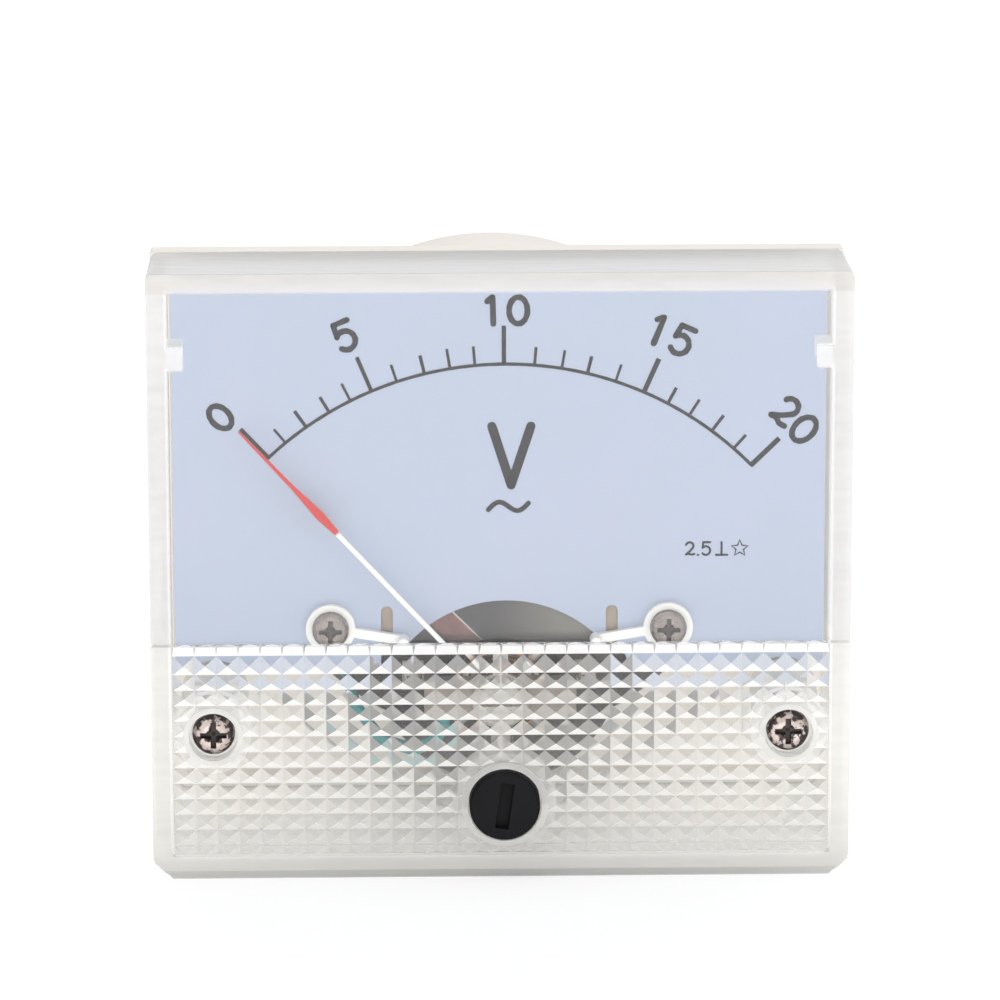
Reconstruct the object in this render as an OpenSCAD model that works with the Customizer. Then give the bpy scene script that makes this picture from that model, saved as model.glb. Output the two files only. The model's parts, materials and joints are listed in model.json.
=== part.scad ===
// Square clear-front analog panel meter: a rectifier moving-coil voltmeter in a round-backed housing.
// Frame: X right and Z up as seen from the front, Y into the panel. The origin is on the drum's axis,
// in the face of the flange that bears on the panel, so the window looks along -Y.

/* [Front] */
// Width of the front
front_w = 64; // [60:0.5:80]
// Height of the front
front_h = 56.4; // [54:0.1:72]
// Top of the front, above the drum's axis
front_top_z = 28; // [27:0.1:36]
// Depth of the clear cover, from its window face to the flange
cover_depth = 12.2; // [11.6:0.1:13]
// Thickness of the housing's flange
flange_t = 2.8; // [2.6:0.1:4]
// How far the flange's edge stands out from the cover
flange_step = 0.05; // [0:0.05:0.6]
// Thickness of the cover's walls
cover_wall = 1.6; // [1.2:0.1:2]
// Chamfer at the two lower corners
corner_chamfer = 1.8; // [1:0.1:3]
// Rounding of the two upper corners
corner_r = 0.6; // [0.4:0.1:2]

/* [Prism panel] */
// Top edge of the prism panel, above the drum's axis
panel_top_z = -6.2; // [-6.6:0.1:-5.2]
// How far the prism panel stands out from the window
panel_proud = 1.1; // [0.8:0.1:1.6]
// Bevel along the prism panel's lower edge
panel_bevel = 1.05; // [0.3:0.05:1.1]
// Width of one prism
prism_w = 2; // [1.6:0.1:2.6]
// Height of one prism
prism_h = 1.465; // [1.2:0.005:2]
// How far each prism rises
prism_rise = 0.5; // [0.3:0.05:0.6]
// Rows of whole prisms
prism_rows = 12; // [10:1:12]

/* [Drum] */
// Radius of the drum at the collar, which fills the hole in the panel
collar_r = 26; // [25.6:0.1:28]
// Length of the collar
collar_len = 8; // [4:0.5:12]
// Radius of the drum behind the collar
drum_r = 24.3; // [24:0.1:25]
// Length of the drum behind the panel
drum_len = 33; // [31:0.5:40]
// Thickness of the drum's wall
drum_wall = 1.7; // [1.5:0.1:2]

/* [Movement] */
// Height of the pointer's axis above the drum's axis
pivot_z = -13; // [-13.2:0.1:-12.6]
// Length of the pointer from its axis to its tip
pointer_len = 35; // [30:0.5:36]
// Angle of the pointer at rest, from straight up
rest_angle = -42.9; // [-46:0.1:-40]
// Outer radius of the soft-iron yoke ring
yoke_r = 9.1; // [8.6:0.1:9.2]
// Radius of the yoke's turned front disc, which fills the arch in the dial
yoke_disc_r = 11.2; // [11.1:0.05:11.4]
// Radius of the core magnet
core_r = 4.3; // [4:0.1:4.4]
// Turns of each hairspring
spring_turns = 4.5; // [3:0.5:6]

/* [Fasteners] */
// Distance between the cover screws, and between the panel studs
screw_spacing = 52.7; // [52:0.1:53]
// Height of the cover screws below the drum's axis
cover_screw_z = -14.7; // [-15.4:0.1:-14]
// Height of the panel studs above the drum's axis
stud_z = 14.7; // [14:0.1:18]
// Distance between the terminals
terminal_spacing = 24; // [20:1:26]
// Height of the terminals above the drum's axis
terminal_z = -7; // [-9:0.5:0]

/* [Hidden] */
$fn = 48;
eps = 0.01;

// Planes of the front, from the window back to the panel
flange_y = -flange_t;
window_y = flange_y - cover_depth;
window_in_y = window_y + cover_wall;
prism_y = window_y - panel_proud;
groove_y = prism_y + prism_rise;

// Prism panel
panel_bottom_z = front_top_z - front_h;
groove_top_z = panel_top_z - 0.95;
prism_columns = 2 * floor((front_w / 2 - 1.6) / prism_w);
prism_half_w = prism_columns * prism_w / 2;
first_row_h = prism_h + 0.3;
prism_bottom_z = groove_top_z - first_row_h - (prism_rows - 0.5) * prism_h;
prism_backing = 0.4;
notch = 0.14;

// Screws and studs of the flange
screw_x = screw_spacing / 2;
cover_screw_head_r = 1.95;
cover_screw_head_h = 1.4;
cover_screw_r = 1.1;
well_r = 2.25;
well_floor_y = prism_y + 2;
column_r = 3.1;
boss_front_y = -8;
cover_screw_len = 12;
stud_r = 1.5;
stud_grip_r = 1.34;
stud_hole_r = 1.6;
stud_len = 14;
stud_head_flats = 5.5;
stud_head_t = 1.8;

// Dial
dial_y = -8.3;
dial_t = 0.5;
dial_back_y = dial_y + dial_t;
dial_w = 60;
dial_top_z = 26;
dial_bottom_z = -12.4;
dial_screw_x = 15.6;
dial_screw_z = -6.2;
arch_r = 12.1;
arch_z = -15.8;
slot_x = 10.4;
slot_w = 1.1;
slot_top_z = -4.2;
nib_z = 20.2;
nib_h = 1.7;
nib_w = 1.1;
stop_t = 0.7;
stop_hub_r = 2.3;
stop_x = 8.9;
stop_z = -7.3;
stop_peg_y = -10.6;
stop_arm_r = 0.45;
stop_peg_r = 0.55;

// Moving system, along its axis
pointer_y = -10;
pointer_t = 0.4;
coil_front_y = -9.25;
coil_rear_y = 3.3;
former_front_y = -8.7;
former_rear_y = 2.8;
former_t = 0.3;
former_half_w = 4.9;
winding_half_w = 5.35;
collet_r = 0.9;
pivot_r = 0.45;
front_tip_y = -11.2;
rear_tip_y = 5.2;
spring_r = 4.2;
spring_w = 0.4;
spring_t = 0.14;
front_spring_y = -10.7;
rear_spring_y = 3.95;
front_bearing_y = -10.95;
rear_bearing_y = 4.95;
arm_len = 5.5;

// Magnet system
yoke_y = -7.6;
yoke_back_y = 1.8;
yoke_in_r = 5.6;
yoke_disc_t = 3.6;
clip_t = 0.4;
clip_w = 2.6;
bearing_r = 1.5;
jewel_r = 0.85;
jewel_t = 1.1;
bridge_t = 0.8;
front_bridge_y = -12;
rear_bridge_y = 5;
bridge_w = 3.2;
bridge_leg_x = 7;
bridge_foot_x = 9;
bridge_screw_x = 8.05;

// Zero adjuster and its lever
adjuster_x = 0.3;
adjuster_z = -21.2;
adjuster_r = 3.25;
adjuster_y = -16.9;
adjuster_slot_angle = 8;
adjuster_shaft_r = 2.5;
pin_offset = 1.1;
pin_r = 0.5;
lever_y = -12.5;
lever_t = 0.4;
fork_half_w = 0.6;

// Movement frame and the drum's inside
frame_y = yoke_back_y;
frame_t = 1.6;
frame_back_y = frame_y + frame_t;
frame_screw_x = 18;
frame_screw_z = 3;
frame_hole_r = 7.6;
tab_t = 1.2;
cavity_r = drum_r - drum_wall;
back_in_y = drum_len - 2;
board_y = 22;
board_t = 1.6;
board_w = 27;
board_low_z = -1;
board_high_z = 19;
board_screw_x = 10.5;
board_screw_z = 15.5;

// Terminals
terminal_x = terminal_spacing / 2;
terminal_r = 2;
terminal_grip_r = 1.77;
terminal_hole_r = 2.15;
terminal_flats = 7;
pad_t = 0.6;
lug_t = 0.5;
terminal_washer_t = 0.6;
terminal_nut_t = 2.6;
terminal_seat_y = drum_len + pad_t;
terminal_step = terminal_washer_t + terminal_nut_t;
terminal_free_y = terminal_seat_y + 2 * terminal_step;
terminal_end_y = terminal_free_y + 3.6;

// Nuts on the panel studs
panel_washer_y = 3;
panel_washer_r = 3;
panel_washer_t = 0.5;
panel_nut_t = 2.4;
panel_free_y = panel_washer_y + panel_washer_t + panel_nut_t;

// ---------- Shapes that many pieces share ----------

// A flat outline in X and Z, given a thickness from y0 to y1
module plate(y0, y1) {
    translate([0, y1, 0]) rotate([90, 0, 0]) linear_extrude(y1 - y0) children();
}

// A round bar along Y
module rod(r, y0, y1) {
    translate([0, y0, 0]) rotate([-90, 0, 0]) cylinder(r = r, h = y1 - y0);
}

// A turned part about Y, from points of radius and y
module turned(profile) {
    rotate([-90, 0, 0]) rotate_extrude() polygon(profile);
}

// A hexagon nut or head along Y, measured across its flats
module hexagon(flats, y0, y1) {
    translate([0, y0, 0]) rotate([-90, 0, 0]) cylinder(r = flats / sqrt(3), h = y1 - y0, $fn = 6);
}

// Children at x and z
module at(x, z) {
    translate([x, 0, z]) children();
}

// Children at -x and +x, at height z
module both(x, z) {
    for (side = [-1, 1]) at(side * x, z) children();
}

// A flat bar with round ends between two points
module link(a, b, r) {
    length = norm(b - a);
    side = 0.97 * r;
    translate(a) circle(r);
    translate(b) circle(r);
    translate(a) rotate(atan2(b[1] - a[1], b[0] - a[0])) translate([0, -side]) square([length, 2 * side]);
}

// The front's outline, inset all round
module front_outline(inset, upper_r = corner_r) {
    w = front_w / 2 - inset;
    high = front_top_z - inset;
    low = panel_bottom_z + inset;
    c = max(corner_chamfer - inset * 0.6, 0.4);
    r = max(upper_r - inset, 0.3);
    polygon([
        [-w, low + c], [-w + c, low], [w - c, low], [w, low + c],
        [w, high - r], [w - r, high], [r - w, high], [-w, high - r]
    ]);
    for (side = [-1, 1]) translate([side * (w - r), high - r]) circle(r);
}

// A pan-head screw pointing to +Y, with a cross or a slot in its head
module screw(head_r, head_h, shank_r, length, cross = true) {
    recess_w = head_r * 0.26;
    recess_len = head_r * 1.25;
    recess_y = -head_h * 0.45;
    difference() {
        turned([
            [0, -head_h], [head_r * 0.55, -head_h * 0.97], [head_r * 0.82, -head_h * 0.84],
            [head_r * 0.96, -head_h * 0.6], [head_r, -head_h * 0.32], [head_r, 0], [shank_r, 0],
            [shank_r, length - shank_r], [shank_r * 0.3, length], [0, length]
        ]);
        for (turn = cross ? [0, 90] : [0])
            rotate([0, turn, 0])
                translate([-recess_len / 2, -head_h - eps, -recess_w / 2])
                    cube([recess_len, head_h + recess_y, recess_w]);
        if (cross)
            turned([
                [0, -head_h - eps], [head_r * 0.36, -head_h - eps],
                [head_r * 0.1, recess_y], [0, recess_y + 0.1]
            ]);
    }
}

// A flat spiral strip from the collet out to spring_r
module spiral(phase) {
    steps = round(spring_turns * 24);
    inner = [for (i = [0:steps]) spiral_point(i / steps, phase, -spring_t / 2)];
    outer = [for (i = [steps:-1:0]) spiral_point(i / steps, phase, spring_t / 2)];
    polygon(concat(inner, outer));
}

function spiral_point(t, phase, side) =
    let (r = collet_r + spring_t / 2 + 0.02 + t * (spring_r - collet_r), a = phase - t * spring_turns * 360)
    [(r + side) * cos(a), (r + side) * sin(a)];

// A round wire swept through a list of points
module wire(path, r) {
    sides = 8;
    count = len(path);
    rings = [for (i = [0:count - 1]) for (k = [0:sides - 1]) ring_point(path, i, k * 360 / sides, r)];
    walls = [
        for (i = [0:count - 2]) for (k = [0:sides - 1])
            let (a = i * sides + k, b = i * sides + (k + 1) % sides)
                each [[a, b, b + sides], [a, b + sides, a + sides]]
    ];
    first = [[for (k = [sides - 1:-1:0]) k]];
    last = [[for (k = [0:sides - 1]) (count - 1) * sides + k]];
    polyhedron(points = rings, faces = concat(walls, first, last));
}

function unit(v) = v / norm(v);
function direction(path, i) = unit(path[min(i + 1, len(path) - 1)] - path[max(i - 1, 0)]);
function ring_point(path, i, a, r) =
    let (d = direction(path, i), u = unit(cross(d, [0.31, 0.2, 0.93])), v = cross(d, u))
    path[i] + r * (cos(a) * u + sin(a) * v);

// ---------- Housing ----------

// The prisms' section from bottom to top: half a prism, the whole rows, and the bevel at the upper edge
module row_teeth() {
    grooves = [
        for (i = [prism_rows - 1:-1:0]) groove_top_z - first_row_h - i * prism_h,
        groove_top_z
    ];
    tips = [for (i = [1:len(grooves) - 1]) (grooves[i - 1] + grooves[i]) / 2];
    polygon(concat(
        [[prism_backing, prism_bottom_z], [-prism_rise, prism_bottom_z], [0, grooves[0]]],
        [for (i = [0:len(tips) - 1]) each [[-prism_rise, tips[i]], [0, grooves[i + 1]]]],
        [[-prism_rise, panel_top_z], [prism_backing, panel_top_z]]
    ));
}

// The prisms' section from side to side
module column_teeth() {
    polygon(concat(
        [[-prism_half_w, prism_backing], [-prism_half_w, 0]],
        [for (i = [0:prism_columns - 1]) each [
            [-prism_half_w + (i + 0.5) * prism_w, -prism_rise],
            [-prism_half_w + (i + 1) * prism_w, 0]
        ]],
        [[prism_half_w, prism_backing]]
    ));
}

// The bevel's section from side to side, notched between the columns
module bevel_teeth() {
    polygon(concat(
        [[-prism_half_w, prism_backing], [-prism_half_w, 0]],
        [for (i = [0:prism_columns - 1]) each [
            [-prism_half_w + i * prism_w + notch, -prism_rise],
            [-prism_half_w + (i + 1) * prism_w - notch, -prism_rise],
            [-prism_half_w + (i + 1) * prism_w, 0]
        ]],
        [[prism_half_w, prism_backing]]
    ));
}

// The prisms: rows and columns of teeth, where both are solid
module prism_mat() {
    intersection() {
        translate([-prism_half_w, groove_y, 0])
            rotate([90, 0, 90]) linear_extrude(2 * prism_half_w) row_teeth();
        union() {
            translate([0, groove_y, prism_bottom_z])
                linear_extrude(groove_top_z - prism_bottom_z) column_teeth();
            translate([0, groove_y, groove_top_z])
                linear_extrude(panel_top_z - groove_top_z) bevel_teeth();
        }
    }
}

module prism_block() {
    difference() {
        plate(prism_y, window_y + 0.3) intersection() {
            front_outline(0.15);
            translate([-front_w / 2, panel_bottom_z]) square([front_w, panel_top_z - panel_bottom_z]);
        }
        translate([-front_w / 2, prism_y, panel_bottom_z]) rotate([90, 0, 90]) linear_extrude(front_w)
            polygon([[-1, -1], [panel_bevel + 1, -1], [-1, panel_bevel + 1]]);
        translate([-prism_half_w, prism_y - 1, prism_bottom_z])
            cube([2 * prism_half_w, groove_y + 0.2 - prism_y + 1, panel_top_z - prism_bottom_z + 1]);
    }
}

module front_cover() {
    color([0.93, 0.95, 0.96, 0.35]) difference() {
        union() {
            difference() {
                plate(window_y, flange_y) front_outline(0);
                plate(window_in_y, flange_y + 1) front_outline(cover_wall);
            }
            prism_block();
            prism_mat();
            both(screw_x, cover_screw_z) rod(well_r + 0.5, prism_y, window_y + 0.3);
            both(screw_x, cover_screw_z) rod(column_r, window_in_y - 0.3, boss_front_y);
            at(adjuster_x, adjuster_z) rod(adjuster_r + 0.75, prism_y - 0.3, window_y + 0.3);
            for (side = [-1, 1]) dial_nib(side);
        }
        both(screw_x, cover_screw_z) rod(well_r, prism_y - 1, well_floor_y);
        both(screw_x, cover_screw_z) rod(cover_screw_r + 0.15, prism_y, flange_y);
        at(adjuster_x, adjuster_z) rod(adjuster_r + 0.15, prism_y - 1, window_y + 0.2);
        at(adjuster_x, adjuster_z) rod(adjuster_shaft_r + 0.05, prism_y, flange_y);
    }
}

// A rib on the cover's side wall, which keeps the dial's edge back
module dial_nib(side) {
    inside = front_w / 2 - cover_wall + 0.2;
    edge = dial_w / 2 - nib_w;
    translate([side > 0 ? edge : -inside, window_in_y - 0.2, nib_z - nib_h / 2])
        cube([inside - edge, dial_y - window_in_y + 0.1, nib_h]);
}

module cover_screw(side) {
    color("silver") at(side * screw_x, cover_screw_z) translate([0, well_floor_y, 0])
        screw(cover_screw_head_r, cover_screw_head_h, cover_screw_r, cover_screw_len);
}

module base_housing() {
    color([0.93, 0.92, 0.88]) {
        difference() {
            union() {
                plate(flange_y, 0) front_outline(-flange_step, 0);
                plate(flange_y - 1, flange_y + 0.2) difference() {
                    front_outline(cover_wall + 0.15);
                    front_outline(cover_wall + 1.15);
                }
                turned([
                    [0, -0.5], [collar_r, -0.5], [collar_r, collar_len - 0.5], [collar_r - 0.5, collar_len],
                    [drum_r, collar_len], [drum_r - 0.3, drum_len - 1], [drum_r - 1.3, drum_len],
                    [0, drum_len]
                ]);
                both(screw_x, cover_screw_z) rod(2.6, boss_front_y, 0);
                both(terminal_x, terminal_z) rod(5, drum_len - 1, drum_len + pad_t);
            }
            turned([
                [0, flange_y - 2], [cavity_r, flange_y - 2], [cavity_r, drum_len - 8],
                [cavity_r - 0.4, back_in_y], [0, back_in_y]
            ]);
            both(screw_x, cover_screw_z) rod(cover_screw_r, boss_front_y - 1, -0.9);
            both(terminal_x, terminal_z) rod(terminal_hole_r, back_in_y - 1, drum_len + pad_t + 1);
            both(screw_x, stud_z) hexagon(stud_head_flats, flange_y - 2, flange_y + stud_head_t);
            both(screw_x, stud_z) rod(stud_grip_r, flange_y, 1);
        }
        for (side = [-1, 1]) {
            housing_post(side * frame_screw_x, frame_screw_z, 2.6, frame_back_y);
            housing_post(side * board_screw_x, board_screw_z, 2.2, board_y + board_t);
        }
    }
}

// A moulded post that rises from the drum's back wall, with a web out to the side wall
module housing_post(x, z, r, front_y) {
    reach = norm([x, z]);
    difference() {
        union() {
            at(x, z) rod(r, front_y, back_in_y + 0.5);
            rotate([0, -atan2(z, x), 0])
                translate([reach, front_y + 4, -0.6])
                    cube([cavity_r - reach + 0.3, back_in_y - front_y - 3.5, 1.2]);
        }
        at(x, z) rod(0.8, front_y - 1, front_y + 6);
    }
}

// ---------- Dial ----------

module dial_plate() {
    color([0.76, 0.8, 0.88]) plate(dial_y, dial_back_y) difference() {
        translate([-dial_w / 2, dial_bottom_z]) square([dial_w, dial_top_z - dial_bottom_z]);
        translate([0.6, arch_z]) circle(arch_r);
        for (side = [-1, 1]) {
            translate([side * dial_screw_x, dial_screw_z]) circle(1.15);
            translate([side * screw_x, cover_screw_z]) circle(column_r + 0.4);
            translate([side * slot_x, slot_top_z - slot_w / 2]) circle(slot_w / 2);
            translate([side * slot_x - slot_w / 2, arch_z])
                square([slot_w, slot_top_z - slot_w / 2 - arch_z]);
        }
    }
}

module dial_screw(side) {
    color("silver") at(side * dial_screw_x, dial_screw_z)
        translate([0, dial_y - stop_t, 0]) screw(1.7, 1.2, 1, 6);
}

// A moulded eyelet under the dial screw, whose arm carries the peg that stops the pointer
module pointer_stop(side) {
    hub = [side * dial_screw_x, dial_screw_z];
    peg = [side * stop_x, stop_z];
    color("ivory") {
        plate(dial_y - stop_t, dial_y) difference() {
            union() {
                translate(hub) circle(stop_hub_r);
                link(hub, peg, stop_arm_r);
            }
            translate(hub) circle(1);
        }
        at(peg[0], peg[1]) rod(stop_peg_r, stop_peg_y, dial_y - 0.1);
    }
}

// ---------- Moving system ----------

// Children turned to the pointer's angle, about the pointer's axis
module on_pointer() {
    at(0, pivot_z) rotate([0, rest_angle, 0]) children();
}

// The pointer from its axis out: a shaft, a spear and a thin needle, with three arms for the weights
module pointer() {
    half = [[0.21, 0], [0.21, 0.62], [0.41, 0.69], [0.17, 0.8], [0.08, 1]];
    right = [for (p = half) [p[0], p[1] * pointer_len]];
    left = [for (i = [len(half) - 1:-1:0]) [-right[i][0], right[i][1]]];
    color("white") on_pointer() plate(pointer_y, pointer_y + pointer_t) difference() {
        union() {
            circle(1.4);
            polygon(concat(right, left));
            for (turn = [90, 180, 270]) rotate(turn) translate([-0.25, 0]) square([0.5, arm_len]);
        }
        circle(pivot_r);
    }
}

module balance_weights() {
    color("silver") on_pointer() for (turn = [90, 180, 270])
        rotate([0, turn, 0]) translate([0, pointer_y + pointer_t / 2, 0]) difference() {
            translate([0, 0, arm_len - 1.4]) cylinder(r = 0.5, h = 1.2);
            translate([-0.25, -pointer_t / 2, 0]) cube([0.5, pointer_t, arm_len]);
        }
}

// A rectangular ring in X and Y, which the coil's sides carry round the core
module coil_ring(half_w, wall, front_y, rear_y, thick) {
    on_pointer() translate([0, 0, -thick / 2]) linear_extrude(thick) difference() {
        translate([-half_w, front_y]) square([2 * half_w, rear_y - front_y]);
        translate([wall - half_w, front_y + wall])
            square([2 * (half_w - wall), rear_y - front_y - 2 * wall]);
    }
}

module coil_former() {
    color("silver") coil_ring(former_half_w, former_t, former_front_y, former_rear_y, 2);
}

module coil_winding() {
    color([0.72, 0.36, 0.16]) on_pointer() translate([0, 0, -0.85]) linear_extrude(1.7) difference() {
        translate([-winding_half_w, coil_front_y]) square([2 * winding_half_w, coil_rear_y - coil_front_y]);
        translate([-former_half_w, former_front_y])
            square([2 * former_half_w, former_rear_y - former_front_y]);
    }
}

// A steel pivot on its base: the base is on the coil, and the point runs in the jewel screw
module pivot(base_y, tip_y) {
    d = sign(tip_y - base_y);
    color("dimgray") at(0, pivot_z) turned([
        [0, base_y], [1.6, base_y], [1.6, base_y + d * 0.2], [pivot_r, base_y + d * 0.35],
        [pivot_r, tip_y - d * 0.5], [0.06, tip_y], [0, tip_y]
    ]);
}

module front_pivot() {
    pivot(coil_front_y, front_tip_y);
}

module rear_pivot() {
    pivot(coil_rear_y, rear_tip_y);
}

// A hairspring on its collet, with a tag at its outer end
module hairspring(y, phase) {
    color("goldenrod") at(0, pivot_z) plate(y, y + spring_w) {
        spiral(phase);
    }
}

module front_hairspring() {
    hairspring(front_spring_y, 90);
}

module rear_hairspring() {
    hairspring(rear_spring_y, -90);
}

// ---------- Bearings, bridges and magnet system ----------

// A jewel screw: a slotted screw, bored for the jewel that its pivot runs in
module bearing_screw(head_y, cup_y) {
    d = sign(cup_y - head_y);
    head_r = bearing_r + 0.6;
    head_t = 0.5;
    slot_w = 0.4;
    color("darkgoldenrod") at(0, pivot_z) difference() {
        turned([
            [0, head_y], [head_r, head_y], [head_r, head_y + d * head_t],
            [bearing_r, head_y + d * head_t], [bearing_r, cup_y], [0, cup_y]
        ]);
        rod(jewel_r, min(cup_y - d * jewel_t, cup_y + d), max(cup_y - d * jewel_t, cup_y + d));
        translate([-3, min(head_y - d * 0.1, head_y + d * 0.3), -slot_w / 2]) cube([6, 0.4, slot_w]);
    }
}

// A synthetic ruby with a conical cup
module jewel(cup_y, d) {
    color("crimson") at(0, pivot_z) turned([
        [0, cup_y - d * jewel_t], [jewel_r, cup_y - d * jewel_t], [jewel_r, cup_y],
        [pivot_r + 0.15, cup_y], [0, cup_y - d * 0.8]
    ]);
}

module front_bearing_screw() {
    bearing_screw(front_bearing_y - 2.1, front_bearing_y);
}

module rear_bearing_screw() {
    bearing_screw(rear_bearing_y + 2.65, rear_bearing_y);
}

module rear_lock_nut() {
    y = rear_bridge_y + bridge_t;
    color("goldenrod") at(0, pivot_z) difference() {
        hexagon(4.4, y, y + 1);
        rod(bearing_r, y - 1, y + 2);
    }
}

// A bent sheet-metal bridge across the movement: a strip, two legs and two screwed feet
module bridge(top_y, foot_y) {
    d = sign(foot_y - top_y);
    leg_in = bridge_leg_x - bridge_t;
    foot_t = 0.6;
    color("gainsboro") at(0, pivot_z) difference() {
        translate([0, 0, -bridge_w / 2]) linear_extrude(bridge_w) polygon([
            [-bridge_leg_x, top_y], [bridge_leg_x, top_y], [bridge_leg_x, foot_y - d * foot_t],
            [bridge_foot_x, foot_y - d * foot_t], [bridge_foot_x, foot_y], [leg_in, foot_y],
            [leg_in, top_y + d * bridge_t], [-leg_in, top_y + d * bridge_t], [-leg_in, foot_y],
            [-bridge_foot_x, foot_y], [-bridge_foot_x, foot_y - d * foot_t],
            [-bridge_leg_x, foot_y - d * foot_t]
        ]);
        rod(bearing_r, min(top_y, foot_y) - 1, max(top_y, foot_y) + 1);
        both(bridge_screw_x, 0) rod(0.5, min(top_y, foot_y) - 1, max(top_y, foot_y) + 1);
    }
}

module front_bridge() {
    bridge(front_bridge_y, yoke_y);
}

module rear_bridge() {
    bridge(rear_bridge_y + bridge_t, frame_back_y);
}

module bridge_screws() {
    color("silver") at(0, pivot_z) {
        both(bridge_screw_x, 0) translate([0, yoke_y - 0.6, 0]) screw(0.9, 0.6, 0.5, 3, cross = false);
        both(bridge_screw_x, 0) translate([0, frame_back_y + 0.6, 0]) rotate([0, 0, 180])
            screw(0.9, 0.6, 0.5, 2, cross = false);
    }
}

module core_magnet() {
    color("darkslategray") at(0, pivot_z) turned([
        [0, yoke_y], [core_r - 0.3, yoke_y], [core_r, yoke_y + 0.3],
        [core_r, yoke_back_y - 0.3], [core_r - 0.3, yoke_back_y], [0, yoke_back_y]
    ]);
}

// A clip that holds the core inside the yoke, with arms in the gap that the coil leaves free
module core_clip(y, reach, arms) {
    color("silver") at(0, pivot_z) plate(y, y + clip_t) difference() {
        union() {
            circle(core_r - 0.6);
            for (end = arms) translate([-clip_w / 2, min(0, end * reach)]) square([clip_w, reach]);
        }
        for (end = arms) translate([0, end * (reach - 0.9)]) circle(0.4);
    }
}

module core_clip_front() {
    core_clip(yoke_y - clip_t, yoke_r - 0.4, [-1]);
}

module core_clip_rear() {
    core_clip(yoke_back_y, frame_hole_r - 0.2, [-1, 1]);
}

// The iron ring round the core: a long ring behind a wide disc, whose face shows through the arch
module yoke_ring() {
    color("gray") at(0, pivot_z) difference() {
        turned([
            [yoke_in_r, yoke_y], [yoke_disc_r - 0.3, yoke_y], [yoke_disc_r, yoke_y + 0.3],
            [yoke_disc_r, yoke_y + yoke_disc_t], [yoke_r, yoke_y + yoke_disc_t],
            [yoke_r, yoke_back_y], [yoke_in_r, yoke_back_y]
        ]);
        both(bridge_screw_x, 0) rod(0.5, yoke_y - 1, yoke_y + 2.6);
    }
}

// The cast frame: a plate behind the yoke, two ears for the housing's posts, and two pillars for the dial,
// each with a tab behind the dial's slot
module movement_frame() {
    axis = [0, pivot_z];
    color("lightgray") difference() {
        union() {
            plate(frame_y, frame_back_y) {
                translate(axis) circle(yoke_r);
                for (side = [-1, 1]) {
                    link([side * 7, pivot_z + 4], [side * dial_screw_x, dial_screw_z], 2.2);
                    link([side * dial_screw_x, dial_screw_z], [side * frame_screw_x, frame_screw_z], 2.6);
                }
            }
            both(dial_screw_x, dial_screw_z) rod(2, dial_back_y, frame_back_y);
            plate(dial_back_y, dial_back_y + tab_t) difference() {
                for (side = [-1, 1])
                    link([side * dial_screw_x, dial_screw_z], [side * (slot_x + 0.8), dial_screw_z], 2.1);
                translate(axis) circle(yoke_disc_r + 0.3);
            }
            both(dial_screw_x, dial_screw_z) rod(2.8, frame_y - 1.2, frame_back_y);
        }
        at(0, pivot_z) rod(frame_hole_r, frame_y - 1, frame_back_y + 1);
        both(dial_screw_x, dial_screw_z) rod(1, dial_back_y - 1, dial_back_y + 5.5);
        both(frame_screw_x, frame_screw_z) rod(1.3, frame_y - 1, frame_back_y + 1);
        at(0, pivot_z) both(bridge_screw_x, 0) rod(0.5, frame_y - 1, frame_back_y + 1);
    }
}

module frame_screws() {
    color("silver") both(frame_screw_x, frame_screw_z) translate([0, frame_y, 0])
        screw(2, 1.4, 0.8, 7);
}

// ---------- Circuit ----------

module circuit_board() {
    color("peru") plate(board_y, board_y + board_t) difference() {
        translate([-board_w / 2, board_low_z]) square([board_w, board_high_z - board_low_z]);
        for (side = [-1, 1]) {
            translate([side * board_screw_x, board_screw_z]) circle(1.1);
            translate([side * (board_w / 2), board_high_z]) rotate(45) square(5, center = true);
        }
    }
}

module board_screws() {
    color("silver") both(board_screw_x, board_screw_z) translate([0, board_y, 0])
        screw(1.7, 1.2, 0.8, 6.5);
}

// A part with a wire out of each end, bent down into the board
module axial_part(x, z, body_r, body_len, span, lead_r) {
    y = board_y - body_r - 0.4;
    at(x, z) {
        translate([-body_len / 2, y, 0]) rotate([0, 90, 0]) cylinder(r = body_r, h = body_len);
        for (side = [-1, 1]) {
            translate([min(side * span / 2, side * body_len / 2), y, 0])
                rotate([0, 90, 0]) cylinder(r = lead_r, h = (span - body_len) / 2);
            at(side * span / 2, 0) {
                translate([0, y, 0]) sphere(lead_r);
                rod(lead_r, y, board_y);
            }
        }
    }
}

module rectifier_diodes() {
    color("firebrick") for (row = [0, 1], side = [-1, 1])
        axial_part(side * 6, 2 + row * 4, 0.95, 4, 7.6, 0.27);
}

module series_resistor() {
    color("teal") axial_part(0, 11, 1.7, 9.5, 13.5, 0.35);
}

// Insulated wire from the zero lever's side of the movement round the yoke to the board
module coil_lead_front() {
    color("teal") wire([
        [-5.2, -11.6, pivot_z - bridge_w / 2], [-5.2, -11.6, -15.8], [-5.9, -11.3, -17.4], [-8, -10.6, -18.8],
        [-11, -9.6, -18.4], [-13.4, -7.6, -16.4], [-14.5, -4.2, -13.8], [-14.5, -0.4, -12], [-13.9, 3, -10.6],
        [-12.8, 8, -8], [-11, 13, -5], [-8.8, 18, -2], [-7.7, 20.2, -0.2], [-7.6, 21.2, 0.2],
        [-7.6, board_y, 0.2]
    ], 0.55);
}

module coil_lead_rear() {
    color("firebrick") wire([
        [4.2, rear_bridge_y + bridge_t, -13], [4.2, 6.8, -13], [5, 8.6, -11.8], [6.6, 11.4, -8.6],
        [7.6, 15, -5], [7.8, 19, -1.4], [7.6, 21, 0.2], [7.6, board_y, 0.2]
    ], 0.45);
}

// ---------- Terminals and panel fixings ----------

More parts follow.
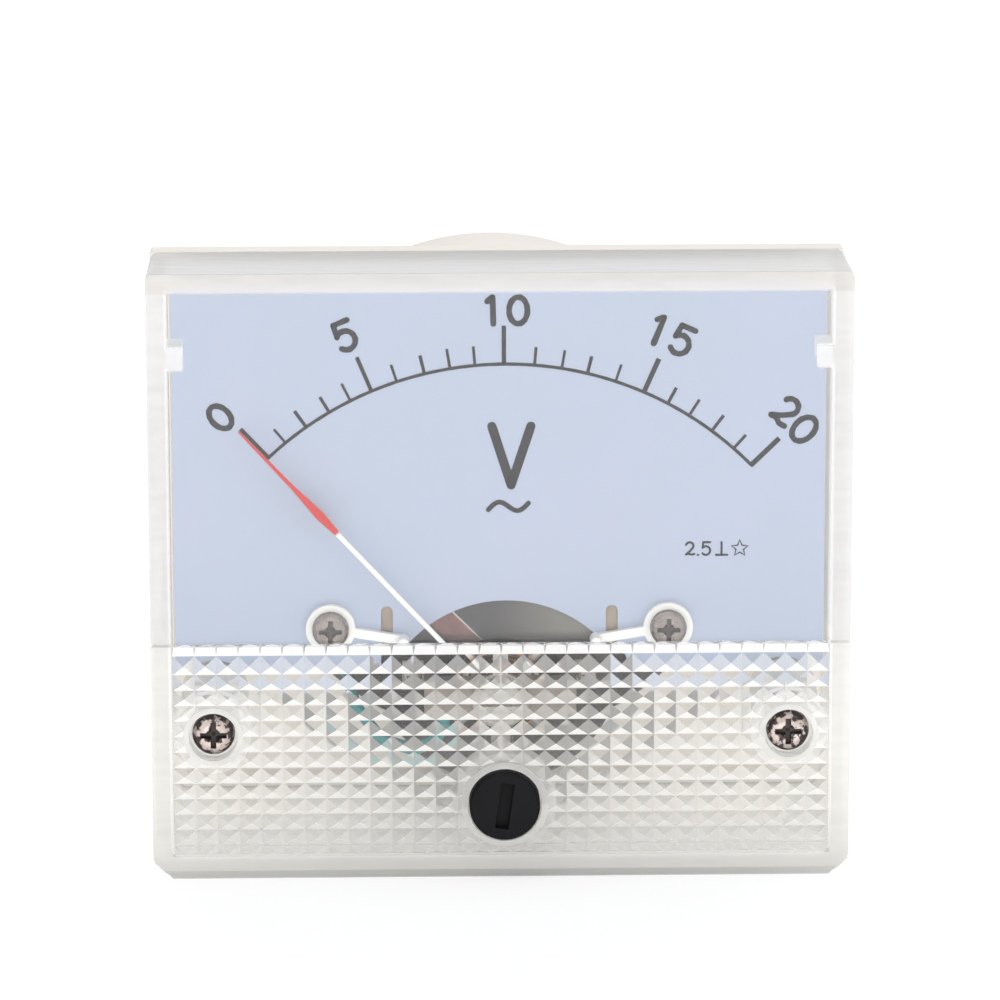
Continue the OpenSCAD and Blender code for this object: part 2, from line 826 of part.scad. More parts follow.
// A stud: its shank is at the thread's mean radius where nuts grip it, and at full radius past them
module stud(full_r, grip_r, start_y, free_y, end_y) {
    turned([
        [0, start_y], [grip_r, start_y], [grip_r, free_y], [full_r, free_y],
        [full_r, end_y - 0.4], [full_r - 0.4, end_y], [0, end_y]
    ]);
}

module terminal_stud(side) {
    head_y = back_in_y - lug_t;
    color("goldenrod") at(side * terminal_x, terminal_z) {
        hexagon(terminal_flats, head_y - 2.6, head_y);
        stud(terminal_r, terminal_grip_r, head_y - 0.5, terminal_free_y, terminal_end_y);
    }
}

// A solder lug under each stud's head, its tail bent forward to the board
module terminal_lugs() {
    tail_w = 2;
    rise = board_low_z + 1.5 - terminal_z;
    color("silver") both(terminal_x, terminal_z) {
        plate(back_in_y - lug_t, back_in_y) difference() {
            union() {
                circle(3.4);
                translate([-tail_w / 2, 0]) square([tail_w, rise]);
            }
            circle(terminal_hole_r);
        }
        translate([-tail_w / 2, board_y + board_t, rise - lug_t])
            cube([tail_w, back_in_y - board_y - board_t, lug_t]);
    }
}

module terminal_washers() {
    color("goldenrod") both(terminal_x, terminal_z)
        for (y = [terminal_seat_y, terminal_seat_y + terminal_step])
            washer(4.4, terminal_hole_r, y, y + terminal_washer_t);
}

module terminal_nuts() {
    color("goldenrod") both(terminal_x, terminal_z)
        for (y = [terminal_seat_y + terminal_step, terminal_free_y])
            nut(terminal_flats, terminal_grip_r, y - terminal_nut_t, y);
}

module washer(outer_r, inner_r, y0, y1) {
    plate(y0, y1) difference() {
        circle(outer_r);
        circle(inner_r);
    }
}

// A hexagon nut whose corners are turned off at both ends
module nut(flats, hole_r, y0, y1) {
    r = flats / sqrt(3);
    difference() {
        intersection() {
            hexagon(flats, y0, y1);
            turned([
                [0, y0], [r - 0.35, y0], [r, y0 + 0.25], [r, y1 - 0.25], [r - 0.35, y1], [0, y1]
            ]);
        }
        rod(hole_r, y0 - 1, y1 + 1);
    }
}

module panel_stud(side) {
    color("silver") at(side * screw_x, stud_z) {
        hexagon(stud_head_flats, flange_y, flange_y + stud_head_t);
        stud(stud_r, stud_grip_r, flange_y + stud_head_t - 0.5, panel_free_y, stud_len);
    }
}

module panel_washers() {
    color("silver") both(screw_x, stud_z)
        washer(panel_washer_r, stud_hole_r, panel_washer_y, panel_washer_y + panel_washer_t);
}

module panel_nuts() {
    color("silver") both(screw_x, stud_z)
        nut(stud_head_flats, stud_grip_r, panel_free_y - panel_nut_t, panel_free_y);
}

// ---------- Zero adjuster ----------

module zero_adjuster() {
    shaft_end_y = window_in_y + 0.1;
    pin_end_y = lever_y + lever_t + 0.3;
    slot = [1.2, 0.8, 4.3];
    color([0.06, 0.06, 0.07]) at(adjuster_x, adjuster_z) {
        difference() {
            turned([
                [0, adjuster_y], [adjuster_r - 0.25, adjuster_y], [adjuster_r, adjuster_y + 0.25],
                [adjuster_r, window_y + 0.1], [adjuster_shaft_r, window_y + 0.1],
                [adjuster_shaft_r, shaft_end_y], [adjuster_shaft_r + 0.3, shaft_end_y + 0.05],
                [adjuster_shaft_r - 0.1, shaft_end_y + 0.5], [0, shaft_end_y + 0.5]
            ]);
            rotate([0, adjuster_slot_angle, 0]) translate([-slot[0] / 2, adjuster_y - 1, -slot[2] / 2])
                cube([slot[0], slot[1] + 1, slot[2]]);
        }
        at(0, pin_offset) rod(pin_r, shaft_end_y, pin_end_y);
    }
}

// The zero lever: a ring on the front bearing screw, a fork down to the adjuster's pin, and the spring's tab
module zero_lever() {
    fork_z = adjuster_z + pin_offset - pivot_z;
    tab_w = 1.4;
    tab_z = spring_r + 0.35;
    color("goldenrod") at(0, pivot_z) {
        plate(lever_y, lever_y + lever_t) difference() {
            union() {
                circle(2.6);
                link([0, 0], [0, fork_z + 1.6], 0.9);
                translate([adjuster_x, fork_z + 0.4]) square([3.2, 2.6], center = true);
                translate([-tab_w / 2, 0]) square([tab_w, tab_z + 0.4]);
            }
            circle(bearing_r + 0.05);
            translate([adjuster_x - fork_half_w, fork_z - 3])
                square([2 * fork_half_w, 3 + pin_r + 0.35]);
        }
        translate([-tab_w / 2, lever_y, tab_z]) cube([tab_w, front_spring_y + spring_w - lever_y, 0.4]);
    }
}

front_cover();
cover_screw(-1);  // cover_screw_left
cover_screw(1);  // cover_screw_right
base_housing();
zero_adjuster();
zero_lever();
dial_plate();
dial_screw(-1);  // dial_screw_left
dial_screw(1);  // dial_screw_right
pointer_stop(-1);  // pointer_stop_left
pointer_stop(1);  // pointer_stop_right
pointer();
balance_weights();
coil_former();
coil_winding();
front_pivot();
rear_pivot();
front_hairspring();
rear_hairspring();
front_bearing_screw();
rear_bearing_screw();
jewel(front_bearing_y, 1);  // front_jewel
jewel(rear_bearing_y, -1);  // rear_jewel
rear_lock_nut();
front_bridge();
rear_bridge();
bridge_screws();
core_magnet();
core_clip_front();
core_clip_rear();
yoke_ring();
movement_frame();
frame_screws();
circuit_board();
board_screws();
rectifier_diodes();
series_resistor();
coil_lead_front();
coil_lead_rear();
terminal_stud(-1);  // terminal_stud_left
terminal_stud(1);  // terminal_stud_right
terminal_lugs();
terminal_washers();
terminal_nuts();
panel_stud(-1);  // panel_stud_left
panel_stud(1);  // panel_stud_right
panel_washers();
panel_nuts();
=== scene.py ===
"""Looks of a clear-front panel voltmeter: finishes, dial print, threads, windings, light and camera."""
import json
import math

import bmesh
import bpy
from mathutils import Matrix, Vector


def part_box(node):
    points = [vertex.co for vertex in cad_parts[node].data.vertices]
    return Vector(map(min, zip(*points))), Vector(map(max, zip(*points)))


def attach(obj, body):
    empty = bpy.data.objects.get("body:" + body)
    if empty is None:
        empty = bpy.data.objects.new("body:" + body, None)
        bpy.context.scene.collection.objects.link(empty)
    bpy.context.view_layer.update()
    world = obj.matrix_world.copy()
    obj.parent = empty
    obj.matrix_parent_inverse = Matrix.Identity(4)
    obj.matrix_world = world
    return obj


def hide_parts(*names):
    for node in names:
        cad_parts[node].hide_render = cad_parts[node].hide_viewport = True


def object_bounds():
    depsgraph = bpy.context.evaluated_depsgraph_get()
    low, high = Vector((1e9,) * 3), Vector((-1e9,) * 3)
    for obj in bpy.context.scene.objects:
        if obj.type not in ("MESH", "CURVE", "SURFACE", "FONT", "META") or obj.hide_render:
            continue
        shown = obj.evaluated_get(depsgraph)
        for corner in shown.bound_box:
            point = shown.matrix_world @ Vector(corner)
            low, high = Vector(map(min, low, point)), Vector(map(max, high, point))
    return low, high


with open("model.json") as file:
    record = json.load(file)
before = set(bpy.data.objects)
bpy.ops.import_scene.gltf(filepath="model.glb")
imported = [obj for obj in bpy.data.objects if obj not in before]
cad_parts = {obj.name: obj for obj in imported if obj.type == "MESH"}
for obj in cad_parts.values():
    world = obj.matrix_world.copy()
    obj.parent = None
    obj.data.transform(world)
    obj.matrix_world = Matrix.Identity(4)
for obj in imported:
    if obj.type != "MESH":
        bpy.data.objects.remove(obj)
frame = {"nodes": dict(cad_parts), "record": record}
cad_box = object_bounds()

MM = 0.001
NODES = frame["nodes"]


def tone(red, green, blue):
    """A linear colour from display values of 0 to 255."""
    values = [channel / 255 for channel in (red, green, blue)]
    return [v / 12.92 if v <= 0.04045 else ((v + 0.055) / 1.055) ** 2.4 for v in values] + [1.0]


# ---------- Node helpers ----------

def wire(tree, target, value):
    """Feeds a socket from another socket, or sets its plain value."""
    if isinstance(value, bpy.types.NodeSocket):
        tree.links.new(value, target)
    else:
        target.default_value = value


def new_node(tree, kind, *values, inputs=(), **settings):
    """A node with its settings made, and its inputs fed in order or by name."""
    node = tree.nodes.new(kind)
    for label, value in settings.items():
        setattr(node, label, value)
    for target, value in zip(node.inputs, values):
        wire(tree, target, value)
    for label, value in inputs:
        wire(tree, node.inputs[label], value)
    return node


def calculate(tree, operation, *values, clamp=False):
    return new_node(tree, "ShaderNodeMath", *values, operation=operation, use_clamp=clamp).outputs[0]


def times(tree, first, second):
    return calculate(tree, "MULTIPLY", first, second)


def times_plus(tree, first, second, third):
    return calculate(tree, "MULTIPLY_ADD", first, second, third)


def apart(tree, first, second):
    """How far apart two values are."""
    return calculate(tree, "ABSOLUTE", calculate(tree, "SUBTRACT", first, second))


def largest(tree, first, *others):
    """The largest of some shares, kept within 0 and 1."""
    for other in others:
        first = calculate(tree, "MAXIMUM", first, other, clamp=True)
    return first


def vector_math(tree, operation, *values):
    outputs = new_node(tree, "ShaderNodeVectorMath", *values, operation=operation).outputs
    return outputs["Value" if operation in ("LENGTH", "DOT_PRODUCT") else "Vector"]


def blend_colours(tree, share, first, second):
    return new_node(tree, "ShaderNodeMix", data_type="RGBA",
                    inputs=(("Factor", share), ("A", first), ("B", second))).outputs["Result"]


def join_shaders(tree, share, first, second):
    return new_node(tree, "ShaderNodeMixShader", share, first.outputs[0], second.outputs[0])


def ramp(tree, value, low, high, out_low=0.0, out_high=1.0):
    return new_node(tree, "ShaderNodeMapRange", interpolation_type="SMOOTHSTEP", inputs=(
        ("Value", value), ("From Min", low), ("From Max", high),
        ("To Min", out_low), ("To Max", out_high))).outputs["Result"]


def cloud(tree, where, scale, detail=3.0, roughness=0.55):
    return new_node(tree, "ShaderNodeTexNoise", inputs=(
        ("Vector", where), ("Scale", scale), ("Detail", detail), ("Roughness", roughness))).outputs["Fac"]


def object_place(tree):
    return tree.nodes.new("ShaderNodeTexCoord").outputs["Object"]


def parts_of(tree, vector):
    return new_node(tree, "ShaderNodeSeparateXYZ", vector).outputs


def join_vector(tree, x, y, z):
    return new_node(tree, "ShaderNodeCombineXYZ", x, y, z).outputs[0]


def start_group(name, inputs, outputs):
    tree = bpy.data.node_groups.new(name, "ShaderNodeTree")
    for label, kind, value in inputs:
        socket = tree.interface.new_socket(label, in_out="INPUT", socket_type="NodeSocket" + kind)
        socket.default_value = value
    for label, kind in outputs:
        tree.interface.new_socket(label, in_out="OUTPUT", socket_type="NodeSocket" + kind)
    given = tree.nodes.new("NodeGroupInput").outputs
    result = tree.nodes.new("NodeGroupOutput").inputs
    return tree, given, result


# ---------- Effects that many finishes share ----------

def make_mottle():
    """Soft patches of a second colour."""
    tree, given, result = start_group(
        "Mottle",
        [("Colour", "Color", (1, 1, 1, 1)), ("Patch Colour", "Color", (1, 1, 1, 1)),
         ("Scale", "Float", 120.0), ("Share", "Float", 0.5)],
        [("Colour", "Color"), ("Mask", "Float")])
    patches = ramp(tree, cloud(tree, object_place(tree), given["Scale"]), 0.3, 0.7)
    mask = times(tree, patches, given["Share"])
    wire(tree, result["Mask"], mask)
    wire(tree, result["Colour"], blend_colours(tree, mask, given["Colour"], given["Patch Colour"]))
    return tree


def make_grain():
    """A fine skin: its height, and the roughness that goes with it."""
    tree, given, result = start_group(
        "Skin Grain",
        [("Scale", "Float", 6000.0), ("Roughness", "Float", 0.4), ("Spread", "Float", 0.1)],
        [("Height", "Float"), ("Roughness", "Float")])
    place = object_place(tree)
    fine = cloud(tree, place, given["Scale"], 2.0)
    broad = cloud(tree, place, calculate(tree, "DIVIDE", given["Scale"], 14.0), 3.0)
    shift = times(tree, calculate(tree, "SUBTRACT", broad, 0.5), given["Spread"])
    wire(tree, result["Height"], fine)
    wire(tree, result["Roughness"], times_plus(tree, shift, 2.0, given["Roughness"]))
    return tree


def make_turned_marks():
    """The rings that a lathe leaves on a face square to Y, and a painted sheen on them that changes with the
    angle about the centre.
    """
    tree, given, result = start_group(
        "Turned Marks",
        [("Centre", "Vector", (0, 0, 0)), ("Pitch", "Float", 0.1 * MM)],
        [("Height", "Float"), ("Shade", "Float")])
    offset = vector_math(tree, "SUBTRACT", object_place(tree), given["Centre"])
    flat = vector_math(tree, "MULTIPLY", offset, (1.0, 0.0, 1.0))
    radius = vector_math(tree, "LENGTH", flat)
    ring = calculate(tree, "DIVIDE", radius, given["Pitch"])
    noise = new_node(tree, "ShaderNodeTexNoise", noise_dimensions="1D",
                     inputs=(("Scale", 1.0), ("Detail", 3.0), ("W", ring)))
    # painted sheen: the Shade output rises and falls with the angle about the centre
    spoke = parts_of(tree, offset)
    turn = calculate(tree, "ARCTAN2", spoke["X"], spoke["Z"])
    sheen = calculate(tree, "SINE", times_plus(tree, turn, 2.0, 0.7))
    wire(tree, result["Height"], noise.outputs["Fac"])
    wire(tree, result["Shade"], times_plus(tree, sheen, 0.35, noise.outputs["Fac"]))
    return tree


def make_edge_wear():
    """A mask of the edges and corners, broken up by a cloud."""
    tree, given, result = start_group(
        "Edge Wear",
        [("Width", "Float", 0.15 * MM), ("Amount", "Float", 0.6), ("Scale", "Float", 1500.0)],
        [("Mask", "Float")])
    rounded = new_node(tree, "ShaderNodeBevel", given["Width"], samples=4)
    flat = tree.nodes.new("ShaderNodeNewGeometry").outputs["Normal"]
    edge = ramp(tree, vector_math(tree, "DOT_PRODUCT", rounded.outputs[0], flat), 0.99, 0.8)
    broken = ramp(tree, cloud(tree, object_place(tree), given["Scale"]), 0.3, 0.6)
    mask = times(tree, edge, broken)
    wire(tree, result["Mask"], calculate(tree, "MULTIPLY", mask, given["Amount"], clamp=True))
    return tree


def make_recess_shade_and_dirt():
    """A mask of painted shade that grows with depth along Y, from a start plane to an end plane, with loose
    spots of dirt.
    """
    tree, given, result = start_group(
        "Recess Shade And Dirt",
        [("Start", "Float", 0.0), ("End", "Float", 0.0), ("Scale", "Float", 1200.0),
         ("Spots", "Float", 0.5)],
        [("Mask", "Float")])
    place = object_place(tree)
    # painted shade: darker the deeper along Y
    depth = ramp(tree, parts_of(tree, place)["Y"], given["Start"], given["End"])
    spots = ramp(tree, cloud(tree, place, given["Scale"], 5.0, 0.65), 0.54, 0.66)
    loose = times(tree, spots, given["Spots"])
    wire(tree, result["Mask"], largest(tree, depth, loose))
    return tree


def make_dust():
    """A thin film on what faces up."""
    tree, given, result = start_group(
        "Dust",
        [("Colour", "Color", (1, 1, 1, 1)), ("Dust Colour", "Color", (0.6, 0.58, 0.55, 1)),
         ("Amount", "Float", 0.1)],
        [("Colour", "Color")])
    normal = tree.nodes.new("ShaderNodeNewGeometry").outputs["Normal"]
    up = ramp(tree, parts_of(tree, normal)["Z"], 0.2, 1.0)
    patch = ramp(tree, cloud(tree, object_place(tree), 700.0, 6.0, 0.7), 0.35, 0.75)
    mask = times(tree, times(tree, up, patch), given["Amount"])
    wire(tree, result["Colour"], blend_colours(tree, mask, given["Colour"], given["Dust Colour"]))
    return tree


EFFECTS = {
    "mottle": make_mottle(),
    "grain": make_grain(),
    "turned": make_turned_marks(),
    "wear": make_edge_wear(),
    "shade_and_dirt": make_recess_shade_and_dirt(),
    "dust": make_dust(),
}


def effect(tree, name, **values):
    node = tree.nodes.new("ShaderNodeGroup")
    node.node_tree = EFFECTS[name]
    for label, value in values.items():
        wire(tree, node.inputs[label.replace("_", " ").title()], value)
    return node.outputs


# ---------- Finishes ----------

def middle(node):
    low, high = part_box(node)
    return (low + high) / 2


PIVOT = Vector((0.0, 0.0, -13.0)) * MM
SCREW_AXIS = middle("cover_screw_right")
SCREW_AXIS.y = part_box("cover_screw_right")[0].y
ADJUSTER_AXIS = middle("zero_adjuster")


def new_material(name, **settings):
    material = bpy.data.materials.new(name)
    material.use_nodes = True
    tree = material.node_tree
    shader = tree.nodes["Principled BSDF"]
    for label, value in settings.items():
        shader.inputs[label.replace("_", " ")].default_value = value
    return material, tree, shader


def skin(tree, shader, colour, patch, mottle_scale=150.0, share=0.5, grain=6000.0,
         roughness=0.4, spread=0.1, dust=0.0):
    """The colour and roughness that most finishes start from. Returns the colour and the grain's height."""
    mixed = effect(tree, "mottle", colour=colour, patch_colour=patch, scale=mottle_scale,
                   share=share)["Colour"]
    if dust:
        mixed = effect(tree, "dust", colour=mixed, amount=dust)["Colour"]
    fine = effect(tree, "grain", scale=grain, roughness=roughness, spread=spread)
    wire(tree, shader.inputs["Roughness"], fine["Roughness"])
    wire(tree, shader.inputs["Base Color"], mixed)
    return mixed, fine["Height"]


def relief(tree, shader, height, depth, soften=0.0):
    """Bumps of a real depth, on an edge softened to a small radius if one is given."""
    bump = new_node(tree, "ShaderNodeBump", inputs=(("Distance", depth), ("Height", height)))
    if soften:
        wire(tree, bump.inputs["Normal"], new_node(tree, "ShaderNodeBevel", soften, samples=3).outputs[0])
    wire(tree, shader.inputs["Normal"], bump.outputs[0])


def plastic(name, colour, patch, roughness=0.4, soften=0.12 * MM, dust=0.05, depth=0.006 * MM,
            grain=5000.0, share=0.5, gloss=0.5):
    material, tree, shader = new_material(name, Specular_IOR_Level=gloss)
    _, height = skin(tree, shader, colour, patch, roughness=roughness, dust=dust, grain=grain, share=share)
    relief(tree, shader, height, depth, soften)
    return material


def metal(name, colour, patch, roughness=0.3, soften=0.08 * MM, depth=0.003 * MM, grain=9000.0,
          share=0.6, worn=None, shade_and_dirt=None, turned=None):
    """A plated or bare metal, with optional worn edges, painted shade and dirt in its recesses, and lathe
    rings.
    """
    material, tree, shader = new_material(name, Metallic=1.0)
    mixed, height = skin(tree, shader, colour, patch, roughness=roughness, spread=0.2, grain=grain,
                         share=share, mottle_scale=500.0)
    if turned:
        rings = effect(tree, "turned", centre=turned, pitch=0.09 * MM)
        height = times_plus(tree, rings["Height"], 3.0, height)
    if worn:
        mask = effect(tree, "wear", amount=0.7)["Mask"]
        mixed = blend_colours(tree, mask, mixed, worn)
    # painted shade deepening into recesses, with spots of dirt
    if shade_and_dirt:
        mask = effect(tree, "shade_and_dirt", start=shade_and_dirt["start"], end=shade_and_dirt["end"], spots=shade_and_dirt["spots"])["Mask"]
        mixed = blend_colours(tree, mask, mixed, shade_and_dirt["colour"])
        wire(tree, shader.inputs["Metallic"], calculate(tree, "SUBTRACT", 1.0, mask))
    wire(tree, shader.inputs["Base Color"], mixed)
    relief(tree, shader, height, depth, soften)
    return material


def beyond(tree, value, start, width=0.25 * MM):
    """A share that goes from 0 to 1 where a value passes its start."""
    return ramp(tree, value, start, start + width)


def off_axis(tree, x, z, axis):
    """The distance from an axis parallel to Y."""
    return vector_math(tree, "LENGTH", join_vector(
        tree, calculate(tree, "SUBTRACT", x, axis.x), 0.0, calculate(tree, "SUBTRACT", z, axis.z)))


# How milky the cover's parts are, from 0 to 1
WALL_MILK = 0.72
# the lower prism faces are made milky white as a painted reflection of the bright table
LOWER_FACE_REFLECTION_MILK = 0.93
SIDE_FACE_MILK = 0.3
UPPER_FACE_MILK = 0.04
LOW_ROWS_MILK = 0.14
COLUMN_MILK = 0.6
RING_MILK = 0.45
STREAKS = 0.16
# Where those parts are: half widths, heights, radii and planes on Y
WALL_X, WALL_TOP, WALL_FOOT = 30.0 * MM, 26.15 * MM, 25.85 * MM
RIB_X, RIB_Z, RIB_HALF_H = 28.6 * MM, 20.2 * MM, 0.9 * MM
PRISM_TOP, LOW_ROWS_START, LOW_ROWS_END = 6.05 * MM, 12.0 * MM, 18.0 * MM
PRISM_Y, TOP_RIM_Y = -14.9 * MM, -14.4 * MM
COLUMN_R, RING_R = 3.4 * MM, 4.7 * MM


def milky_share(tree):
    """How milky the cover is: most at its walls and ribs, and at its lower prism faces, where the milk is a
    painted reflection of the bright table, lit by the lamps; less at its columns and the adjuster's ring, and
    not at all in its window."""
    place = parts_of(tree, object_place(tree))
    wide = calculate(tree, "ABSOLUTE", place["X"])
    below = times(tree, place["Z"], -1.0)
    rib = times(tree, beyond(tree, wide, RIB_X), calculate(
        tree, "SUBTRACT", 1.0, beyond(tree, apart(tree, place["Z"], RIB_Z), RIB_HALF_H)))
    walls = largest(tree, beyond(tree, wide, WALL_X), beyond(tree, place["Z"], WALL_TOP),
                    beyond(tree, below, WALL_FOOT), rib)
    streaks = cloud(tree, vector_math(tree, "MULTIPLY", object_place(tree), (0.25, 1.0, 1.0)), 900.0, 1.0)
    walls = times(tree, walls, times_plus(tree, streaks, STREAKS, WALL_MILK - STREAKS / 2))
    normal = parts_of(tree, tree.nodes.new("ShaderNodeNewGeometry").outputs["True Normal"])
    # painted reflection: lower prism faces milky white, standing in for the bright table, and lit by the
    # lamps
    painted_table_reflection = ramp(tree, normal["Z"], -0.2, -0.4, 0.0, LOWER_FACE_REFLECTION_MILK)
    side = ramp(tree, calculate(tree, "ABSOLUTE", normal["X"]), 0.2, 0.35, 0.0, SIDE_FACE_MILK)
    upper = ramp(tree, below, LOW_ROWS_START, LOW_ROWS_END, UPPER_FACE_MILK, LOW_ROWS_MILK)
    face = calculate(tree, "ADD", largest(tree, painted_table_reflection, side), upper)
    front = ramp(tree, place["Y"], PRISM_Y, PRISM_Y - 0.2 * MM)
    prisms = times(tree, times(tree, face, front), beyond(tree, below, PRISM_TOP))
    column = ramp(tree, off_axis(tree, wide, place["Z"], SCREW_AXIS),
                  COLUMN_R + 0.3 * MM, COLUMN_R, 0.0, COLUMN_MILK)
    ring = ramp(tree, off_axis(tree, place["X"], place["Z"], ADJUSTER_AXIS),
                RING_R + 0.2 * MM, RING_R, 0.0, RING_MILK)
    return largest(tree, walls, prisms, column, ring)


def milky_tone(tree):
    """The colour of the milky parts: whitest on the prisms, to brighten their painted reflection, with
    painted shade on the top rim's front.
    """
    place = parts_of(tree, object_place(tree))
    prisms = beyond(tree, times(tree, place["Z"], -1.0), PRISM_TOP)
    # painted shade on the top rim's front
    top_rim_painted_shade = times(tree, beyond(tree, place["Z"], WALL_TOP - 0.05 * MM),
                ramp(tree, place["Y"], TOP_RIM_Y, TOP_RIM_Y - 0.3 * MM))
    colour = blend_colours(tree, prisms, tone(242, 241, 240), tone(252, 250, 246))
    return blend_colours(tree, top_rim_painted_shade, colour, tone(230, 227, 224))


def clear_acrylic():
    """Clear moulded acrylic, milky in parts. Light falls straight through it, so what it covers is lit."""
    material, tree, shader = new_material("clear_acrylic", IOR=1.49, Transmission_Weight=1.0,
                                          Base_Color=tone(253, 253, 252))
    haze = ramp(tree, cloud(tree, object_place(tree), 180.0, 2.0), 0.55, 0.75, 0.0, 0.06)
    wire(tree, shader.inputs["Roughness"], haze)
    ripple = cloud(tree, object_place(tree), 160.0, 1.0)
    relief(tree, shader, ripple, 0.004 * MM)
    colour = milky_tone(tree)
    milk = [new_node(tree, "ShaderNodeBsdf" + kind, inputs=(("Color", colour),))
            for kind in ("Diffuse", "Translucent")]
    cloudy = join_shaders(tree, 0.28, *milk)
    body = join_shaders(tree, milky_share(tree), shader, cloudy)
    through = new_node(tree, "ShaderNodeBsdfTransparent", (0.985, 0.988, 0.985, 1.0))
    path = tree.nodes.new("ShaderNodeLightPath").outputs
    straight = largest(tree, path["Is Shadow Ray"], path["Is Diffuse Ray"])
    mixed = join_shaders(tree, straight, body, through)
    tree.links.new(mixed.outputs[0], tree.nodes["Material Output"].inputs["Surface"])
    return material


def pointer_paint():
    """White paint, and red from the spear outwards."""
    material, tree, shader = new_material("pointer_paint", Specular_IOR_Level=0.3)
    shaft, height = skin(tree, shader, tone(244, 243, 240), tone(232, 231, 228), roughness=0.38,
                         mottle_scale=900.0)
    reach = vector_math(tree, "LENGTH", vector_math(
        tree, "MULTIPLY", vector_math(tree, "SUBTRACT", object_place(tree), PIVOT), (1.0, 0.0, 1.0)))
    red_start, fade = 21.9 * MM, 0.15 * MM
    share = ramp(tree, reach, red_start - fade, red_start + fade)
    wire(tree, shader.inputs["Base Color"], blend_colours(tree, share, shaft, tone(208, 40, 34)))
    relief(tree, shader, height, 0.004 * MM)
    return material


def dial_blue():
    """Matt pale blue enamel with faint grey specks."""
    material, tree, shader = new_material("dial_blue")
    paint, height = skin(tree, shader, tone(174, 185, 206), tone(177, 186, 209), mottle_scale=70.0, share=0.9,
                         grain=3500.0, roughness=0.55, spread=0.08)
    specks = ramp(tree, cloud(tree, object_place(tree), 900.0, 2.0), 0.76, 0.8)
    faint = times(tree, specks, 0.35)
    wire(tree, shader.inputs["Base Color"], blend_colours(tree, faint, paint, tone(150, 156, 176)))
    relief(tree, shader, height, 0.004 * MM)
    return material


def soft_iron():
    """The yoke: dark turned iron with a painted sheen by angle, painted light to its right and painted shadow
    low down, and left of its top a band of painted reddish reflection with a painted highlight along its
    edge."""
    material, tree, shader = new_material("soft_iron", Metallic=0.8)
    mixed, height = skin(tree, shader, tone(80, 79, 82), tone(70, 69, 73), roughness=0.4, grain=7000.0,
                         mottle_scale=260.0)
    rings = effect(tree, "turned", centre=PIVOT, pitch=0.12 * MM)
    # painted sheen from the lathe rings, lightening the iron by angle
    shade = ramp(tree, rings["Shade"], 0.1, 1.0, 0.0, 0.4)
    mixed = blend_colours(tree, shade, mixed, tone(108, 104, 102))
    away = parts_of(tree, vector_math(tree, "SUBTRACT", object_place(tree), PIVOT))
    # painted light: brighter towards the right
    painted_light_right = ramp(tree, away["X"], -1.5 * MM, 8.5 * MM, 0.0, 0.7)
    mixed = blend_colours(tree, painted_light_right, mixed, tone(150, 148, 140))
    # a band of painted reddish reflection left of the top, with a painted highlight along its edge
    across = calculate(tree, "DIVIDE", calculate(tree, "ADD", away["X"], away["Z"]), math.sqrt(2.0))
    above = beyond(tree, away["Z"], 4.2 * MM)
    reflection_middle, reflection_half = 1.5 * MM, 1.16 * MM
    band = times(tree, above,
                 ramp(tree, apart(tree, across, reflection_middle), reflection_half, reflection_half - 0.08 * MM))
    edge = times(tree, above,
                 ramp(tree, apart(tree, across, reflection_middle + reflection_half), 0.1 * MM, 0.05 * MM))
    painted_reflection_colour = effect(tree, "mottle", colour=tone(146, 112, 108), patch_colour=tone(120, 88, 86),
                     scale=1400.0, share=0.8)["Colour"]
    mixed = blend_colours(tree, band, mixed, painted_reflection_colour)
    mixed = blend_colours(tree, edge, mixed, tone(196, 194, 192))
    # painted shadow: darkest low down
    low = ramp(tree, away["Z"], 6.4 * MM, 5.4 * MM, 0.0, 0.75)
    mixed = blend_colours(tree, low, mixed, tone(40, 38, 38))
    wire(tree, shader.inputs["Base Color"], mixed)
    relief(tree, shader, times_plus(tree, rings["Height"], 4.0, height), 0.002 * MM, 0.1 * MM)
    return material


def worn_nickel():
    """The cover screws: pale nickel on the lands, brown stain in the cross and in patches round the rim."""
    material, tree, shader = new_material("worn_nickel")
    mixed, height = skin(tree, shader, tone(188, 176, 170), tone(150, 138, 132), roughness=0.42, spread=0.2,
                         grain=7000.0, share=0.7, mottle_scale=700.0)
    place = object_place(tree)
    here = parts_of(tree, place)
    radius = off_axis(tree, calculate(tree, "ABSOLUTE", here["X"]), here["Z"], SCREW_AXIS)
    patches = cloud(tree, place, 1500.0, 4.0, 0.62)
    outward = times_plus(tree, ramp(tree, radius, 0.9 * MM, 1.9 * MM), 0.2, patches)
    rim = ramp(tree, outward, 0.58, 0.66)
    depth = ramp(tree, here["Y"], SCREW_AXIS.y + 0.2 * MM, SCREW_AXIS.y + 0.42 * MM)
    deep = times(tree, depth, ramp(tree, radius, 1.45 * MM, 1.3 * MM))
    inward = times_plus(tree, ramp(tree, radius, 1.25 * MM, 0.3 * MM), 0.16, patches)
    near_cross = ramp(tree, inward, 0.57, 0.63)
    stain = largest(tree, rim, deep, near_cross)
    brown = effect(tree, "mottle", colour=tone(44, 27, 22), patch_colour=tone(22, 14, 12), scale=2500.0,
                   share=0.9)["Colour"]
    wire(tree, shader.inputs["Base Color"], blend_colours(tree, stain, mixed, brown))
    wire(tree, shader.inputs["Metallic"], ramp(tree, stain, 0.0, 1.0, 0.85, 0.1))
    relief(tree, shader, times_plus(tree, stain, 3.0, height), 0.006 * MM, 0.1 * MM)
    return material


def plain(name, colour, patch, depth, soften=0.0, settings=None, **skin_values):
    """A skin with its relief, and nothing more."""
    material, tree, shader = new_material(name, **(settings or {}))
    _, height = skin(tree, shader, colour, patch, **skin_values)
    relief(tree, shader, height, depth, soften)
    return material


